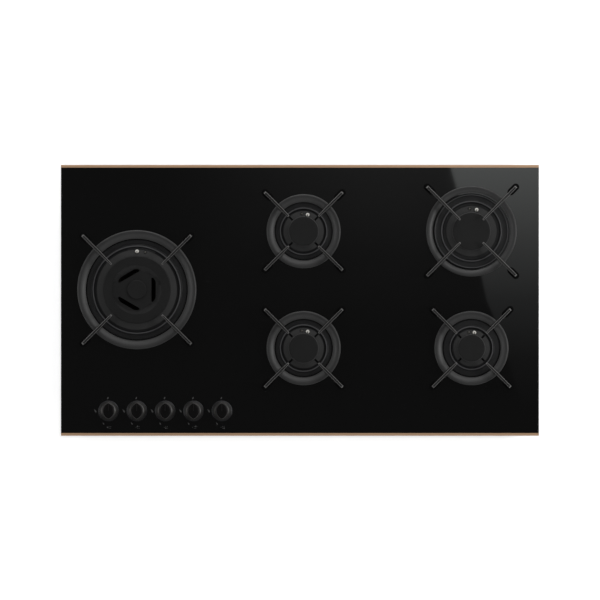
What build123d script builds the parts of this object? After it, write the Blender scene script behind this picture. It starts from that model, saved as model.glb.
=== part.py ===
"""Built-in gas cooktop, 90 cm wide: a black glass top with copper-finished edge strips, five burners,
five loose cast-iron pan supports and five push-and-turn controls over a shallow steel tray.

Millimetres. +X is the user's right, +Y is away from the user and +Z is up. The origin is the middle
of the tray's underside, so the cooktop stands on Z = 0. A burner's or a knob's heights are measured
from the top face of the glass, and everything inside the tray from the tray's underside.
"""

import os
from dataclasses import dataclass
from math import cos, hypot, radians, sin

from build123d import *

# ---------------------------------------------------------------- levels of the tray and the glass
sheet = 1.0
worktop = 46.0
seal_height = 2.0
glass_thickness = 8.0
glass_bottom = worktop + seal_height
glass_top_z = glass_bottom + glass_thickness

# ---------------------------------------------------------------- plan sizes
overall_width = 900.0
overall_depth = 510.0
trim_width = 5.0
trim_lip = 3.0
trim_lip_height = 1.0
edge_chamfer = 0.8
glass_depth = overall_depth - 2 * trim_width
cutout_margin_x = 28.0
cutout_margin_y = 15.0
cutout_width = overall_width - 2 * cutout_margin_x
cutout_depth = overall_depth - 2 * cutout_margin_y
cutout_play = 6.0
seal_width = 5.0
tray_width = cutout_width - 2 * cutout_play
tray_length = cutout_depth - 2 * cutout_play
tray_corner = 8.0
inner_width = tray_width - 2 * sheet
inner_length = tray_length - 2 * sheet

# ---------------------------------------------------------------- burners
rear_row = 130.0
front_row = -90.0
left_column = -307.0
centre_column = 7.0
right_column = 323.0


@dataclass
class Burner:
    """Plan radii of one burner from the cap outwards, and where its igniter and probe stand."""

    name: str
    x: float
    y: float
    cap: float
    skirt: float
    collar: float
    bead: float
    dish: float
    ring_in: float
    ring_out: float
    finger_in: float
    finger_tip: float
    ports: int
    plug: tuple
    probe: tuple
    holder: float = 15.0
    inlet_turn: float = -90.0
    outer_bead: float = 0.0

    @property
    def glass_hole(self):
        return hypot(*self.plug) + ceramic_radius + way_margin

    @property
    def spigot(self):
        return self.collar - collar_wall - spigot_play

    @property
    def tower(self):
        return self.cap - tower_inset

    @property
    def bore(self):
        return self.tower - tower_wall


way_margin = 1.3
collar_wall = 3.7
spigot_play = 0.2
tower_inset = 1.8
tower_wall = 4.6

ultra = Burner(
    "ultra", left_column, (rear_row + front_row) / 2,
    cap=64.0, skirt=75.5, collar=67.5, bead=82.0, dish=94.0,
    ring_in=96.0, ring_out=112.3, finger_in=67.0, finger_tip=145.0, ports=36,
    plug=(0.4, 72.2), probe=(16.0, 70.6), holder=20.0,
)
rear_centre, front_centre = [
    Burner(
        name, centre_column, y,
        cap=28.3, skirt=38.0, collar=34.0, bead=43.5, dish=53.2,
        ring_in=55.0, ring_out=70.0, finger_in=39.6, finger_tip=104.0, ports=20,
        plug=(7.7, 31.2), probe=(-3.4, 32.8), inlet_turn=inlet_turn,
    )
    for name, y, inlet_turn in (("rear_centre", rear_row, 180.0), ("front_centre", front_row, -90.0))
]
rapid = Burner(
    "rapid", right_column, rear_row,
    cap=36.0, skirt=47.5, collar=43.5, bead=56.0, dish=71.4,
    ring_in=73.2, ring_out=85.5, finger_in=30.0, finger_tip=119.0, ports=28,
    plug=(9.8, 40.6), probe=(-3.5, 42.4), holder=17.0, inlet_turn=180.0, outer_bead=68.6,
)
auxiliary = Burner(
    "auxiliary", right_column, front_row,
    cap=26.0, skirt=34.5, collar=31.0, bead=40.0, dish=53.2,
    ring_in=55.0, ring_out=70.0, finger_in=39.0, finger_tip=104.0, ports=18,
    plug=(5.6, 29.4), probe=(-4.9, 30.0),
)
plain_burners = [rear_centre, front_centre, rapid, auxiliary]
burners = [ultra] + plain_burners

# Heights above the glass.
dish_top = 2.4
bead_top = 5.0
collar_top = 3.0
skirt_edge = 6.5
skirt_crest = 10.5
tower_top = 15.0
cap_top = 20.0
pan_plane = 36.0
ring_bottom = 1.0
ring_top = 11.0
plug_height = 13.0
probe_height = 12.0

# Castings and pressings.
dish_sheet = 1.2
spigot_depth = 3.0
spigot_wall = 3.0
port_width = 1.6
port_depth = 4.0
port_run_out = 1.0
skirt_lead = 0.4
notch_inset = 1.4
bore_slope = 2.0
notch_width = 3.6
cap_edge = 1.4
cap_rib = 2.4
ceramic_radius = 3.5
probe_radius = 2.0
pass_play = 0.6

# The large burner's open middle.
ultra_crest = 12.0
ultra_tower_top = 17.0
ultra_cap_top = 22.0
groove_out = 46.5
hub_edge = 36.5
hub_seat = 15.0
hub_top = 19.5
centre_cap_top = 22.5
centre_cap_radius = 18.0
centre_cap_edge = 1.0
centre_boss = 3.0
hub_bore = 8.0
hub_rim = 2.4
hub_play = 0.2
air_slot_in = 27.6
air_slot_out = 35.6
air_slot_length = 45.0
air_slot_round = 38.5
air_slot_corner = 1.5
air_slot_play = 0.3
bridge_turns = (180.0, 17.0)
bridge_widths = (30.0, 8.0)
bridge_root = 1.5

# Pan supports.
finger_width = 5.0
finger_end_width = 3.4
finger_depth = 7.0
finger_nose = 2.6
finger_edge = 1.1
finger_chin = 1.5
finger_brow = 2.0
finger_haunch = 2.3
finger_sweep_run = 14.0
finger_sweep = 16.0
ring_dip = 0.33
ring_brow = 3.0
ring_slot_run_out = 3.0
slot_width = 8.6
slot_floor = 3.0
root_inset = 3.0
leg_length = 12.0
leg_draft = 1.5
leg_taper = 1.0
foot_length = 26.0
foot_width = 13.0
foot_height = 5.0
foot_pocket = 2.0

# ---------------------------------------------------------------- controls
knob_pitch = 53.4
knob_first = -360.4
knob_row = -208.3
knob_places = [(knob_first + knob_pitch * i, knob_row) for i in range(len(burners))]
knob_push = 3.5
bezel_radius = 19.4
bezel_height = 3.0
bezel_rim = 1.8
bezel_flange = 0.8
bezel_neck = 8.8
neck_play = 0.2
knob_radius = 17.0
knob_clearance = 0.3
knob_gap = bezel_flange + knob_push + knob_clearance
knob_shoulder = 5.0
knob_height = 21.0
knob_wall = 2.0
grip_half_width = 10.0
grip_reach = 14.6
spindle_radius = 4.0
spindle_flat = 2.6
turning_play = 0.05
fit_play = 0.03

# ---------------------------------------------------------------- inside the tray
plug_top = 34.0
plug_bottom = 14.0
plug_top_radius = 8.0
plug_bottom_radius = 6.0
tongue_thickness = 3.0
tongue_engagement = 4.0
tap_radius = 12.0
tap_bottom = 8.0
tap_cover = 43.0
tap_top = 45.0
rail_radius = 6.0
rail_height = 14.0
rail_row = knob_row + 22.0
tube_radius = 4.0
tube_height = 30.0
bracket_top = 14.0
cup_floor = 4.0

os.makedirs("parts", exist_ok=True)


def write(part, label):
    """Labels a finished piece and writes it as its own file."""
    part.label = label
    export_step(part, f"parts/{label}.step")


def level(x, y, height=0.0):
    """A level plane over a place in plan, at a height above the glass."""
    return Plane(origin=(x, y, glass_top_z + height))


def turn_outline(x, y, outline, base=glass_top_z):
    """Turns a closed half outline of (radius, height) points into the piece being made."""
    with BuildSketch(Plane(origin=(x, y, base), x_dir=(1, 0, 0), z_dir=(0, -1, 0))) as half:
        with BuildLine():
            Polyline(*outline, close=True)
        make_face()
    revolve(half.sketch, axis=Axis((x, y, 0), (0, 0, 1)))


def cut_ways(b, play, bottom, top):
    """Drills the upright ways for a burner's igniter and probe through the piece being made."""
    with BuildSketch(Plane.XY.offset(bottom)) as ways:
        with Locations((b.x + b.plug[0], b.y + b.plug[1])):
            Circle(ceramic_radius + play)
        with Locations((b.x + b.probe[0], b.y + b.probe[1])):
            Circle(probe_radius + play)
    extrude(ways.sketch, amount=top - bottom, mode=Mode.SUBTRACT)


def facing(x, y, height, turn):
    """An upright plane at a height above the tray's underside, facing outwards at an angle in plan."""
    return Plane(origin=(x, y, height), z_dir=(cos(radians(turn)), sin(radians(turn)), 0))


# ================================================================ glass, edge strips and seal
knob_glass_hole = bezel_neck + neck_play
with BuildPart() as glass:
    with BuildSketch(Plane.XY.offset(glass_bottom)):
        Rectangle(overall_width, glass_depth)
        for b in burners:
            with Locations((b.x, b.y)):
                Circle(b.glass_hole, mode=Mode.SUBTRACT)
        with Locations(*knob_places):
            Circle(knob_glass_hole, mode=Mode.SUBTRACT)
    extrude(amount=glass_thickness)
    chamfer(glass.edges().filter_by(Axis.Y).group_by(Axis.Z)[-1], edge_chamfer)
write(glass.part, "glass_top")

# Each strip is an angle: its upright leg covers the cut edge and its lip is bonded under the glass.
for side, label in ((-1, "front_trim"), (1, "rear_trim")):
    with BuildPart() as trim:
        with BuildSketch(Plane.YZ.offset(-overall_width / 2)):
            with BuildLine():
                outer = side * overall_depth / 2
                face = side * glass_depth / 2
                lip = face - side * trim_lip
                lip_bottom = glass_bottom - trim_lip_height
                Polyline(
                    (outer, lip_bottom), (outer, glass_top_z), (face, glass_top_z),
                    (face, glass_bottom), (lip, glass_bottom), (lip, lip_bottom),
                    close=True,
                )
            make_face()
        extrude(amount=overall_width)
        chamfer(trim.edges().filter_by(Axis.X).group_by(Axis.Z)[-1].sort_by(Axis.Y)[::side][-1], edge_chamfer)
    write(trim.part, label)

with BuildPart() as seal:
    with BuildSketch(Plane.XY.offset(worktop)):
        RectangleRounded(cutout_width + 2 * seal_width, cutout_depth + 2 * seal_width, tray_corner)
        RectangleRounded(cutout_width, cutout_depth, tray_corner - seal_width, mode=Mode.SUBTRACT)
    extrude(amount=seal_height)
write(seal.part, "worktop_seal")

# ================================================================ frame, tray and their screws
frame_flange = 12.0
frame_drop = 14.0
tray_gap = 0.5
screw_height = glass_bottom - 9.0
screw_radius = 1.75
screw_head = 4.0
screw_head_height = 2.2
screw_length = 8.0
screw_x = (-320.0, 320.0)
screw_y = (0.0,)
side_screws = [
    Plane(origin=(x, side * tray_length / 2, screw_height), z_dir=(0, side, 0))
    for side in (-1, 1) for x in screw_x
] + [
    Plane(origin=(side * tray_width / 2, y, screw_height), z_dir=(side, 0, 0))
    for side in (-1, 1) for y in screw_y
]

with BuildPart() as frame:
    with BuildSketch(Plane.XY.offset(glass_bottom - sheet)):
        RectangleRounded(inner_width, inner_length, tray_corner - sheet)
        Rectangle(inner_width - 2 * frame_flange, inner_length - 2 * frame_flange, mode=Mode.SUBTRACT)
    extrude(amount=sheet)
    with BuildSketch(Plane.XY.offset(glass_bottom - frame_drop)):
        RectangleRounded(inner_width, inner_length, tray_corner - sheet)
        RectangleRounded(
            inner_width - 2 * sheet, inner_length - 2 * sheet, tray_corner - 2 * sheet, mode=Mode.SUBTRACT
        )
    extrude(amount=frame_drop - sheet)
    with BuildSketch(*side_screws):
        Circle(screw_radius)
    extrude(amount=-screw_length, mode=Mode.SUBTRACT)
write(frame.part, "glass_frame")

with BuildPart() as screws:
    with BuildSketch(*side_screws):
        RegularPolygon(screw_head, 6)
    extrude(amount=screw_head_height)
    with BuildSketch(*side_screws):
        Circle(screw_radius)
    extrude(amount=-screw_length)
write(screws.part, "tray_screws")

vent_length = 30.0
vent_width = 4.0
vent_pitch = 12.0
vent_rows = (-200.0, 200.0)
vent_columns = (left_column, (centre_column + right_column) / 2)
inlet_x = tray_width / 2 - 31.0
inlet_y = tray_length / 2 - 38.0
inlet_way = 19.0
gland_x = 300.0
gland_height = 20.0
gland_radius = 8.0
gland_bore = 4.0
gland_hole = gland_radius + 0.1
clamp_x = tray_width / 2 - 36.0
clamp_y = tray_length / 2 - 18.0
clamp_hole = 2.25

with BuildPart() as tray:
    with BuildSketch():
        RectangleRounded(tray_width, tray_length, tray_corner)
    extrude(amount=glass_bottom - tray_gap)
    with BuildSketch(Plane.XY.offset(sheet)):
        RectangleRounded(inner_width, inner_length, tray_corner - sheet)
    extrude(amount=glass_bottom, mode=Mode.SUBTRACT)
    with BuildSketch():
        with Locations(*[(x, y) for x in vent_columns for y in vent_rows]):
            with GridLocations(vent_pitch, 0, 5, 1):
                Rectangle(vent_width, vent_length)
        with Locations((inlet_x, inlet_y)):
            Circle(inlet_way)
        with GridLocations(2 * clamp_x, 2 * clamp_y, 2, 2):
            Circle(clamp_hole)
    extrude(amount=sheet, mode=Mode.SUBTRACT)
    with BuildSketch(Plane(origin=(gland_x, tray_length / 2, gland_height), z_dir=(0, 1, 0))):
        Circle(gland_hole)
    extrude(amount=-2 * sheet, mode=Mode.SUBTRACT)
    with BuildSketch(*side_screws):
        Circle(screw_radius)
    extrude(amount=-2 * sheet, mode=Mode.SUBTRACT)
write(tray.part, "base_tray")

# ================================================================ brackets under the burners
bracket_width = 52.0
bracket_foot = 12.0
bracket_sheet = 1.2
bracket_margin = 45.0
cup_screw_radius = 1.5
cup_screw_head = 3.0
cup_screw_head_height = 2.2
cup_screw_bite = 3.2
cup_screw_offset = 9.3
bracket_spans = [
    (ultra.x, ultra.y - bracket_margin, ultra.y + bracket_margin),
    (centre_column, front_row - bracket_margin, rear_row + bracket_margin),
    (right_column, front_row - bracket_margin, rear_row + bracket_margin),
]
cup_screws = [(b.x + side * cup_screw_offset, b.y) for b in burners for side in (-1, 1)]

with BuildPart() as brackets:
    for x, start, end in bracket_spans:
        with BuildSketch(Plane(origin=(x, start, sheet), x_dir=(1, 0, 0), z_dir=(0, -1, 0))):
            with BuildLine():
                rise = bracket_top - sheet
                half = bracket_width / 2
                side_points = [
                    (half + bracket_foot, 0), (half + bracket_foot, bracket_sheet),
                    (half, bracket_sheet), (half, rise),
                ]
                under_points = [
                    (half - bracket_sheet, rise - bracket_sheet), (half - bracket_sheet, 0),
                ]
                left_side = [(-u, v) for u, v in reversed(side_points)]
                left_under = [(-u, v) for u, v in reversed(under_points)]
                Polyline(*side_points, *left_side, *left_under, *under_points, close=True)
            make_face()
        extrude(amount=start - end)
    with BuildSketch(Plane.XY.offset(bracket_top)):
        with Locations(*cup_screws):
            Circle(cup_screw_radius)
    extrude(amount=-bracket_sheet, mode=Mode.SUBTRACT)
write(brackets.part, "burner_brackets")

with BuildPart() as cup_fixings:
    with BuildSketch(Plane.XY.offset(bracket_top - bracket_sheet)):
        with Locations(*cup_screws):
            RegularPolygon(cup_screw_head, 6)
    extrude(amount=-cup_screw_head_height)
    with BuildSketch(Plane.XY.offset(bracket_top - bracket_sheet)):
        with Locations(*cup_screws):
            Circle(cup_screw_radius)
    extrude(amount=bracket_sheet + cup_screw_bite)
write(cup_fixings.part, "burner_screws")

# ================================================================ burner cups and injectors
cup_flange = 5.0
cup_flange_height = 3.0
cup_wall = 3.5
cup_neck_height = 14.0
spigot_room = 1.0
cup_neck = glass_bottom - cup_neck_height
cup_slope = 2.0
inlet_boss = 6.5
inlet_root = 1.0
boss_length = 12.0

with BuildPart() as cups:
    for b in burners:
        flange = b.glass_hole + cup_flange
        flange_bottom = glass_bottom - cup_flange_height
        inner = b.collar - collar_wall
        turn_outline(b.x, b.y, [
            (0, bracket_top), (b.holder, bracket_top), (b.holder, cup_neck),
            (b.glass_hole, flange_bottom), (flange, flange_bottom), (flange, glass_bottom),
            (b.collar, glass_bottom), (b.collar, glass_top_z + collar_top),
            (inner, glass_top_z + collar_top), (inner, glass_top_z - spigot_depth - spigot_room),
            (b.holder - cup_wall, cup_neck + cup_slope),
            (b.holder - cup_wall, bracket_top + cup_floor), (0, bracket_top + cup_floor),
        ], base=0)
        with BuildSketch(facing(b.x, b.y, tube_height, b.inlet_turn)) as boss:
            Circle(inlet_boss)
        boss_end = b.holder - inlet_root + boss_length
        extrude(boss.sketch, amount=boss_end)
        with BuildSketch(facing(b.x, b.y, tube_height, b.inlet_turn)) as boss_bore:
            Circle(tube_radius)
        extrude(boss_bore.sketch, amount=boss_end + 1, mode=Mode.SUBTRACT)
        with BuildSketch(Plane.XY.offset(bracket_top + cup_floor)) as bowl:
            with Locations((b.x, b.y)):
                Circle(b.holder - cup_wall)
        extrude(bowl.sketch, amount=cup_neck + cup_slope - bracket_top - cup_floor, mode=Mode.SUBTRACT)
        cut_ways(b, pass_play / 2, cup_neck, glass_top_z + collar_top)
    with BuildSketch(Plane.XY.offset(bracket_top)):
        with Locations(*cup_screws):
            Circle(cup_screw_radius)
    extrude(amount=cup_screw_bite, mode=Mode.SUBTRACT)
write(cups.part, "burner_cups")

jet_across_flats = 11.0
jet_hex_height = 5.0
jet_nose = 3.2
jet_nose_height = 5.0
with BuildPart() as jets:
    burner_places = [(b.x, b.y) for b in burners]
    with BuildSketch(Plane.XY.offset(bracket_top + cup_floor)):
        with Locations(*burner_places):
            RegularPolygon(jet_across_flats / 2, 6, major_radius=False)
    extrude(amount=jet_hex_height)
    with BuildSketch(Plane.XY.offset(bracket_top + cup_floor + jet_hex_height)):
        with Locations(*burner_places):
            Circle(jet_nose)
    extrude(amount=jet_nose_height, taper=12)
write(jets.part, "injectors")

# ================================================================ spill rings
bead_flank = 1.9
bead_crown = 1.0
collar_gap = 0.4
dish_edge = 0.8
outer_bead_crown = 0.5
pad_step = 0.2
outer_bead_height = 1.4
pad_start = 64.0
pad_end = 103.0

with BuildPart() as spills:
    for b in burners:
        inner = b.collar + collar_gap
        outline = [
            (inner, 0), (inner, dish_sheet), (b.bead - bead_crown - bead_flank, dish_sheet),
            (b.bead - bead_crown, bead_top), (b.bead + bead_crown, bead_top),
            (b.bead + bead_crown + bead_flank, dish_top),
        ]
        if b.outer_bead:
            crest = dish_top + outer_bead_height
            outline += [
                (b.outer_bead - bead_flank, dish_top), (b.outer_bead - outer_bead_crown, crest),
                (b.outer_bead + outer_bead_crown, crest), (b.outer_bead + bead_flank, dish_top),
            ]
        outline += [(b.dish - dish_edge, dish_top), (b.dish, dish_top - dish_edge), (b.dish, 0)]
        turn_outline(b.x, b.y, outline)
    # The large burner's raised pad, through which its igniter and probe stand.
    with BuildSketch(level(ultra.x, ultra.y, dish_sheet)) as pad:
        with BuildLine():
            pad_in = ultra.collar + collar_gap
            pad_out = ultra.bead - bead_crown - bead_flank / 2
            inner_arc = CenterArc((0, 0), pad_in, pad_start, pad_end - pad_start)
            outer_arc = CenterArc((0, 0), pad_out, pad_start, pad_end - pad_start)
            Line(inner_arc @ 0, outer_arc @ 0)
            Line(inner_arc @ 1, outer_arc @ 1)
        make_face()
    extrude(amount=collar_top - dish_sheet - pad_step)
    for b in burners:
        cut_ways(b, pass_play / 2, glass_top_z, glass_top_z + collar_top)
write(spills.part, "spill_rings")

# ================================================================ crowns and caps


def cut_ports(b, radius, count, top, length):
    """Cuts open-topped radial flame ports through the round wall of the crown being made."""
    with BuildSketch(level(b.x, b.y, top)) as ports:
        with PolarLocations(radius, count):
            Rectangle(length, port_width)
    extrude(ports.sketch, amount=-port_depth, mode=Mode.SUBTRACT)


for b in plain_burners:
    with BuildPart() as crown:
        turn_outline(b.x, b.y, [
            (b.bore, tower_top), (b.tower, tower_top), (b.tower, skirt_crest),
            (b.cap + skirt_lead, skirt_crest), (b.skirt, skirt_edge), (b.skirt, collar_top),
            (b.spigot, collar_top), (b.spigot, -spigot_depth), (b.spigot - spigot_wall, -spigot_depth),
            (b.bore, skirt_edge - bore_slope),
        ])
        cut_ports(b, b.tower - tower_wall / 2, b.ports, tower_top, tower_wall + 2 * port_run_out)
        # A notch in the skirt stands in line with each finger of the pan support.
        with BuildSketch(level(b.x, b.y, collar_top + 1)) as notches:
            with PolarLocations(b.skirt, 4, start_angle=45):
                Rectangle(2 * (b.skirt - b.cap - notch_inset), notch_width)
        extrude(notches.sketch, amount=skirt_crest, mode=Mode.SUBTRACT)
        cut_ways(b, pass_play, glass_top_z - spigot_depth, glass_top_z + skirt_crest)
    write(crown.part, f"crown_{b.name}")

    with BuildPart() as cap:
        boss_out = b.bore - spigot_play
        turn_outline(b.x, b.y, [
            (0, cap_top), (b.cap - cap_edge, cap_top), (b.cap, cap_top - cap_edge),
            (b.cap, tower_top), (boss_out, tower_top), (boss_out, tower_top - cap_rib),
            (0, tower_top - cap_rib),
        ])
    write(cap.part, f"cap_{b.name}")

# The large burner's crown is one casting. Gas fills its outer channel and, through the three arms
# between the air slots, the small ring of ports round the hub.
chamber_wall_out = 3.5
chamber_wall_in = 2.5
chamber_floor_wall = 3.0
chamber_out = ultra.tower - chamber_wall_out
chamber_in = groove_out + chamber_wall_in
chamber_floor = collar_top + chamber_floor_wall
hub_port_depth = 2.5
hub_port_length = 4.0
hub_ports_per_arm = 3
hub_port_spread = 28.0
stem_wall = 2.0
stem_depth = 4.0


def air_slots(grow=0.0, height=0.0):
    """Three straight slots round the hub, their outer corners cut back on a circle."""
    with BuildSketch(level(ultra.x, ultra.y, height)) as slots:
        with PolarLocations((air_slot_in + air_slot_out) / 2, 3):
            Rectangle(air_slot_out - air_slot_in + 2 * grow, air_slot_length + 2 * grow)
        Circle(air_slot_round + grow, mode=Mode.INTERSECT)
        fillet(slots.vertices(), air_slot_corner)
    return slots.sketch


with BuildPart() as big_crown:
    turn_outline(ultra.x, ultra.y, [
        (hub_bore, hub_seat), (hub_edge, hub_seat), (hub_edge, hub_seat - hub_port_depth),
        (groove_out, hub_seat), (chamber_in, hub_seat), (chamber_in, chamber_floor),
        (chamber_out, chamber_floor), (chamber_out, ultra_tower_top), (ultra.tower, ultra_tower_top),
        (ultra.tower, ultra_crest), (ultra.cap + skirt_lead, ultra_crest), (ultra.skirt, skirt_edge),
        (ultra.skirt, collar_top), (ultra.spigot, collar_top), (ultra.spigot, -spigot_depth),
        (ultra.spigot - spigot_wall, -spigot_depth), (ultra.spigot - spigot_wall, collar_top),
        (hub_bore + stem_wall, collar_top), (hub_bore + stem_wall, -spigot_depth - stem_depth),
        (hub_bore, -spigot_depth - stem_depth),
    ])
    extrude(air_slots(air_slot_play), amount=hub_seat, mode=Mode.SUBTRACT)
    cut_ports(
        ultra, ultra.tower - chamber_wall_out / 2, ultra.ports, ultra_tower_top,
        chamber_wall_out + 2 * port_run_out,
    )
    with BuildSketch(level(ultra.x, ultra.y, hub_seat)):
        for arm in (60, 180, 300):
            with PolarLocations(
                hub_edge, hub_ports_per_arm, arm - hub_port_spread / 2, hub_port_spread, endpoint=True
            ):
                Rectangle(hub_port_length, port_width)
    extrude(amount=-hub_port_depth, mode=Mode.SUBTRACT)
    cut_ways(ultra, pass_play, glass_top_z - spigot_depth, glass_top_z + ultra_crest)
write(big_crown.part, "crown_ultra")

# Its cap is one piece: the outer ring, two bridges over the groove and the hub with its air slots.
with BuildPart() as big_cap:
    cap_rib_out = chamber_out - spigot_play
    turn_outline(ultra.x, ultra.y, [
        (groove_out, ultra_cap_top), (ultra.cap - cap_edge, ultra_cap_top),
        (ultra.cap, ultra_cap_top - cap_edge), (ultra.cap, ultra_tower_top),
        (cap_rib_out, ultra_tower_top), (cap_rib_out, hub_seat), (groove_out, hub_seat),
    ])
    turn_outline(ultra.x, ultra.y, [
        (hub_bore + hub_play, hub_seat), (hub_edge, hub_seat), (hub_edge, hub_top),
        (hub_bore + hub_play, hub_top),
    ])
    extrude(air_slots(hub_rim, hub_seat), amount=hub_top - hub_seat)
    for turn, width in zip(bridge_turns, bridge_widths):
        with BuildSketch(level(ultra.x, ultra.y, hub_seat)) as bridge:
            with Locations(Location((0, 0, 0), (0, 0, turn))):
                with Locations(((hub_edge + groove_out) / 2, 0)):
                    Rectangle(groove_out - hub_edge + 2 * bridge_root, width)
        extrude(bridge.sketch, amount=hub_top - hub_seat)
    extrude(air_slots(), amount=hub_top, mode=Mode.SUBTRACT)
write(big_cap.part, "cap_ultra")

with BuildPart() as centre_cap:
    turn_outline(ultra.x, ultra.y, [
        (0, centre_cap_top), (centre_cap_radius - centre_cap_edge, centre_cap_top),
        (centre_cap_radius, centre_cap_top - centre_cap_edge), (centre_cap_radius, hub_top),
        (hub_bore - hub_play, hub_top), (hub_bore - hub_play, hub_seat - centre_boss),
        (0, hub_seat - centre_boss),
    ])
write(centre_cap.part, "centre_cap_ultra")

# ================================================================ pan supports and their feet
for b in burners:
    ring_width = b.ring_out - b.ring_in
    blade_bottom = pan_plane - finger_depth
    leg_out = b.finger_tip - leg_draft
    leg_in = leg_out - leg_length
    leg_bottom = foot_height - foot_pocket
    root_in = b.ring_in + root_inset
    root_out = b.ring_out - root_inset
    haunch = pan_plane - finger_haunch * finger_depth

    with BuildPart() as finger:
        with BuildSketch(Plane.XZ):
            with BuildLine():
                nose = Polyline(
                    (b.finger_in + finger_chin, blade_bottom), (b.finger_in, pan_plane - finger_brow),
                    (b.finger_in + finger_brow, pan_plane), (b.finger_tip - finger_nose, pan_plane),
                    (b.finger_tip, pan_plane - finger_nose), (leg_out, leg_bottom),
                    (leg_in, leg_bottom), (leg_in + leg_taper, haunch),
                )
                arch = ThreePointArc(
                    nose @ 1, ((leg_in + leg_taper + root_out) / 2, blade_bottom), (root_out, haunch)
                )
                root = Polyline(
                    arch @ 1, (root_out, ring_bottom), (root_in, ring_bottom), (root_in, haunch)
                )
                sweep_back = RadiusArc(root @ 1, (root_in - finger_sweep_run, blade_bottom), finger_sweep)
                Line(sweep_back @ 1, nose @ 0)
            make_face()
        extrude(amount=finger_width / 2, both=True)
        # In plan the blade narrows from the ring to its inner end.
        with BuildSketch():
            with BuildLine():
                tip_half = finger_width / 2
                end_half = finger_end_width / 2
                Polyline(
                    (b.finger_in, -end_half), (root_in, -tip_half), (b.finger_tip, -tip_half),
                    (b.finger_tip, tip_half), (root_in, tip_half), (b.finger_in, end_half),
                    close=True,
                )
            make_face()
        extrude(amount=pan_plane, mode=Mode.INTERSECT)
        top_edges = finger.edges().group_by(Axis.Z)[-1].filter_by(lambda e: e.length > finger_width)
        chamfer(top_edges, finger_edge)

    with BuildPart() as support:
        with BuildSketch(Plane(origin=(b.x, b.y, glass_top_z), x_dir=(1, 0, 0), z_dir=(0, -1, 0))):
            # The ring's upper face is dished: it rises outwards to a rounded brow.
            with BuildLine():
                crest = (b.ring_out - ring_brow, ring_top)
                ring_sides = Polyline(
                    (b.ring_out, ring_top - ring_brow), (b.ring_out, ring_bottom),
                    (b.ring_in, ring_bottom), (b.ring_in, ring_top - ring_dip * ring_width),
                )
                TangentArc(crest, ring_sides @ 1, tangent=(-1, 0))
                TangentArc(crest, ring_sides @ 0, tangent=(1, 0))
            make_face()
        revolve(axis=Axis((b.x, b.y, 0), (0, 0, 1)))
        with BuildSketch(level(b.x, b.y, slot_floor)):
            with PolarLocations((b.ring_in + b.ring_out) / 2, 4, start_angle=45):
                Rectangle(ring_width + 2 * ring_slot_run_out, slot_width)
        extrude(amount=ring_top, mode=Mode.SUBTRACT)
        with Locations((b.x, b.y, glass_top_z)):
            with PolarLocations(0, 4, start_angle=45):
                add(finger.part)
    write(support.part, f"pan_support_{b.name}")

    with BuildPart() as feet:
        with BuildSketch(level(b.x, b.y)):
            with PolarLocations((leg_in + leg_out) / 2, 4, start_angle=45):
                SlotOverall(foot_length, foot_width)
        extrude(amount=foot_height)
        with BuildSketch(level(b.x, b.y, foot_height)):
            with PolarLocations((leg_in + leg_out) / 2, 4, start_angle=45):
                Rectangle(leg_length + 2 * leg_draft, finger_width)
        extrude(amount=-foot_pocket, mode=Mode.SUBTRACT)
    write(feet.part, f"feet_{b.name}")

# ================================================================ controls
bezel_bore = bezel_radius - bezel_rim
bezel_fall = 0.8
bezel_play = 1.0
with BuildPart() as bezels:
    for x, y in knob_places:
        turn_outline(x, y, [
            (spindle_radius + bezel_play, bezel_flange), (bezel_bore, bezel_flange),
            (bezel_bore, bezel_height), (bezel_radius, bezel_height - bezel_fall), (bezel_radius, 0),
            (bezel_neck, 0), (bezel_neck, -glass_thickness), (spindle_radius + bezel_play, -glass_thickness),
        ])
write(bezels.part, "knob_bezels")

knob_bottom = glass_top_z + knob_gap
bore_depth = 13.0
hub_wall = 2.5
bore_play = 0.2
tongue_gap = 0.4
tongue_margin = 0.3
tongue_room = 0.5
index_width = 1.4
index_depth = 0.8
spindle_end = knob_bottom + bore_depth - bore_play
tongue_bottom = plug_top - tongue_engagement
round_bottom = plug_top + knob_push + tongue_gap
collar_thickness = 1.5
collar_radius = 6.5
stop_gap = 0.3
cavity_margin = 1.0
cavity_radius = plug_top_radius + cavity_margin

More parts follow.
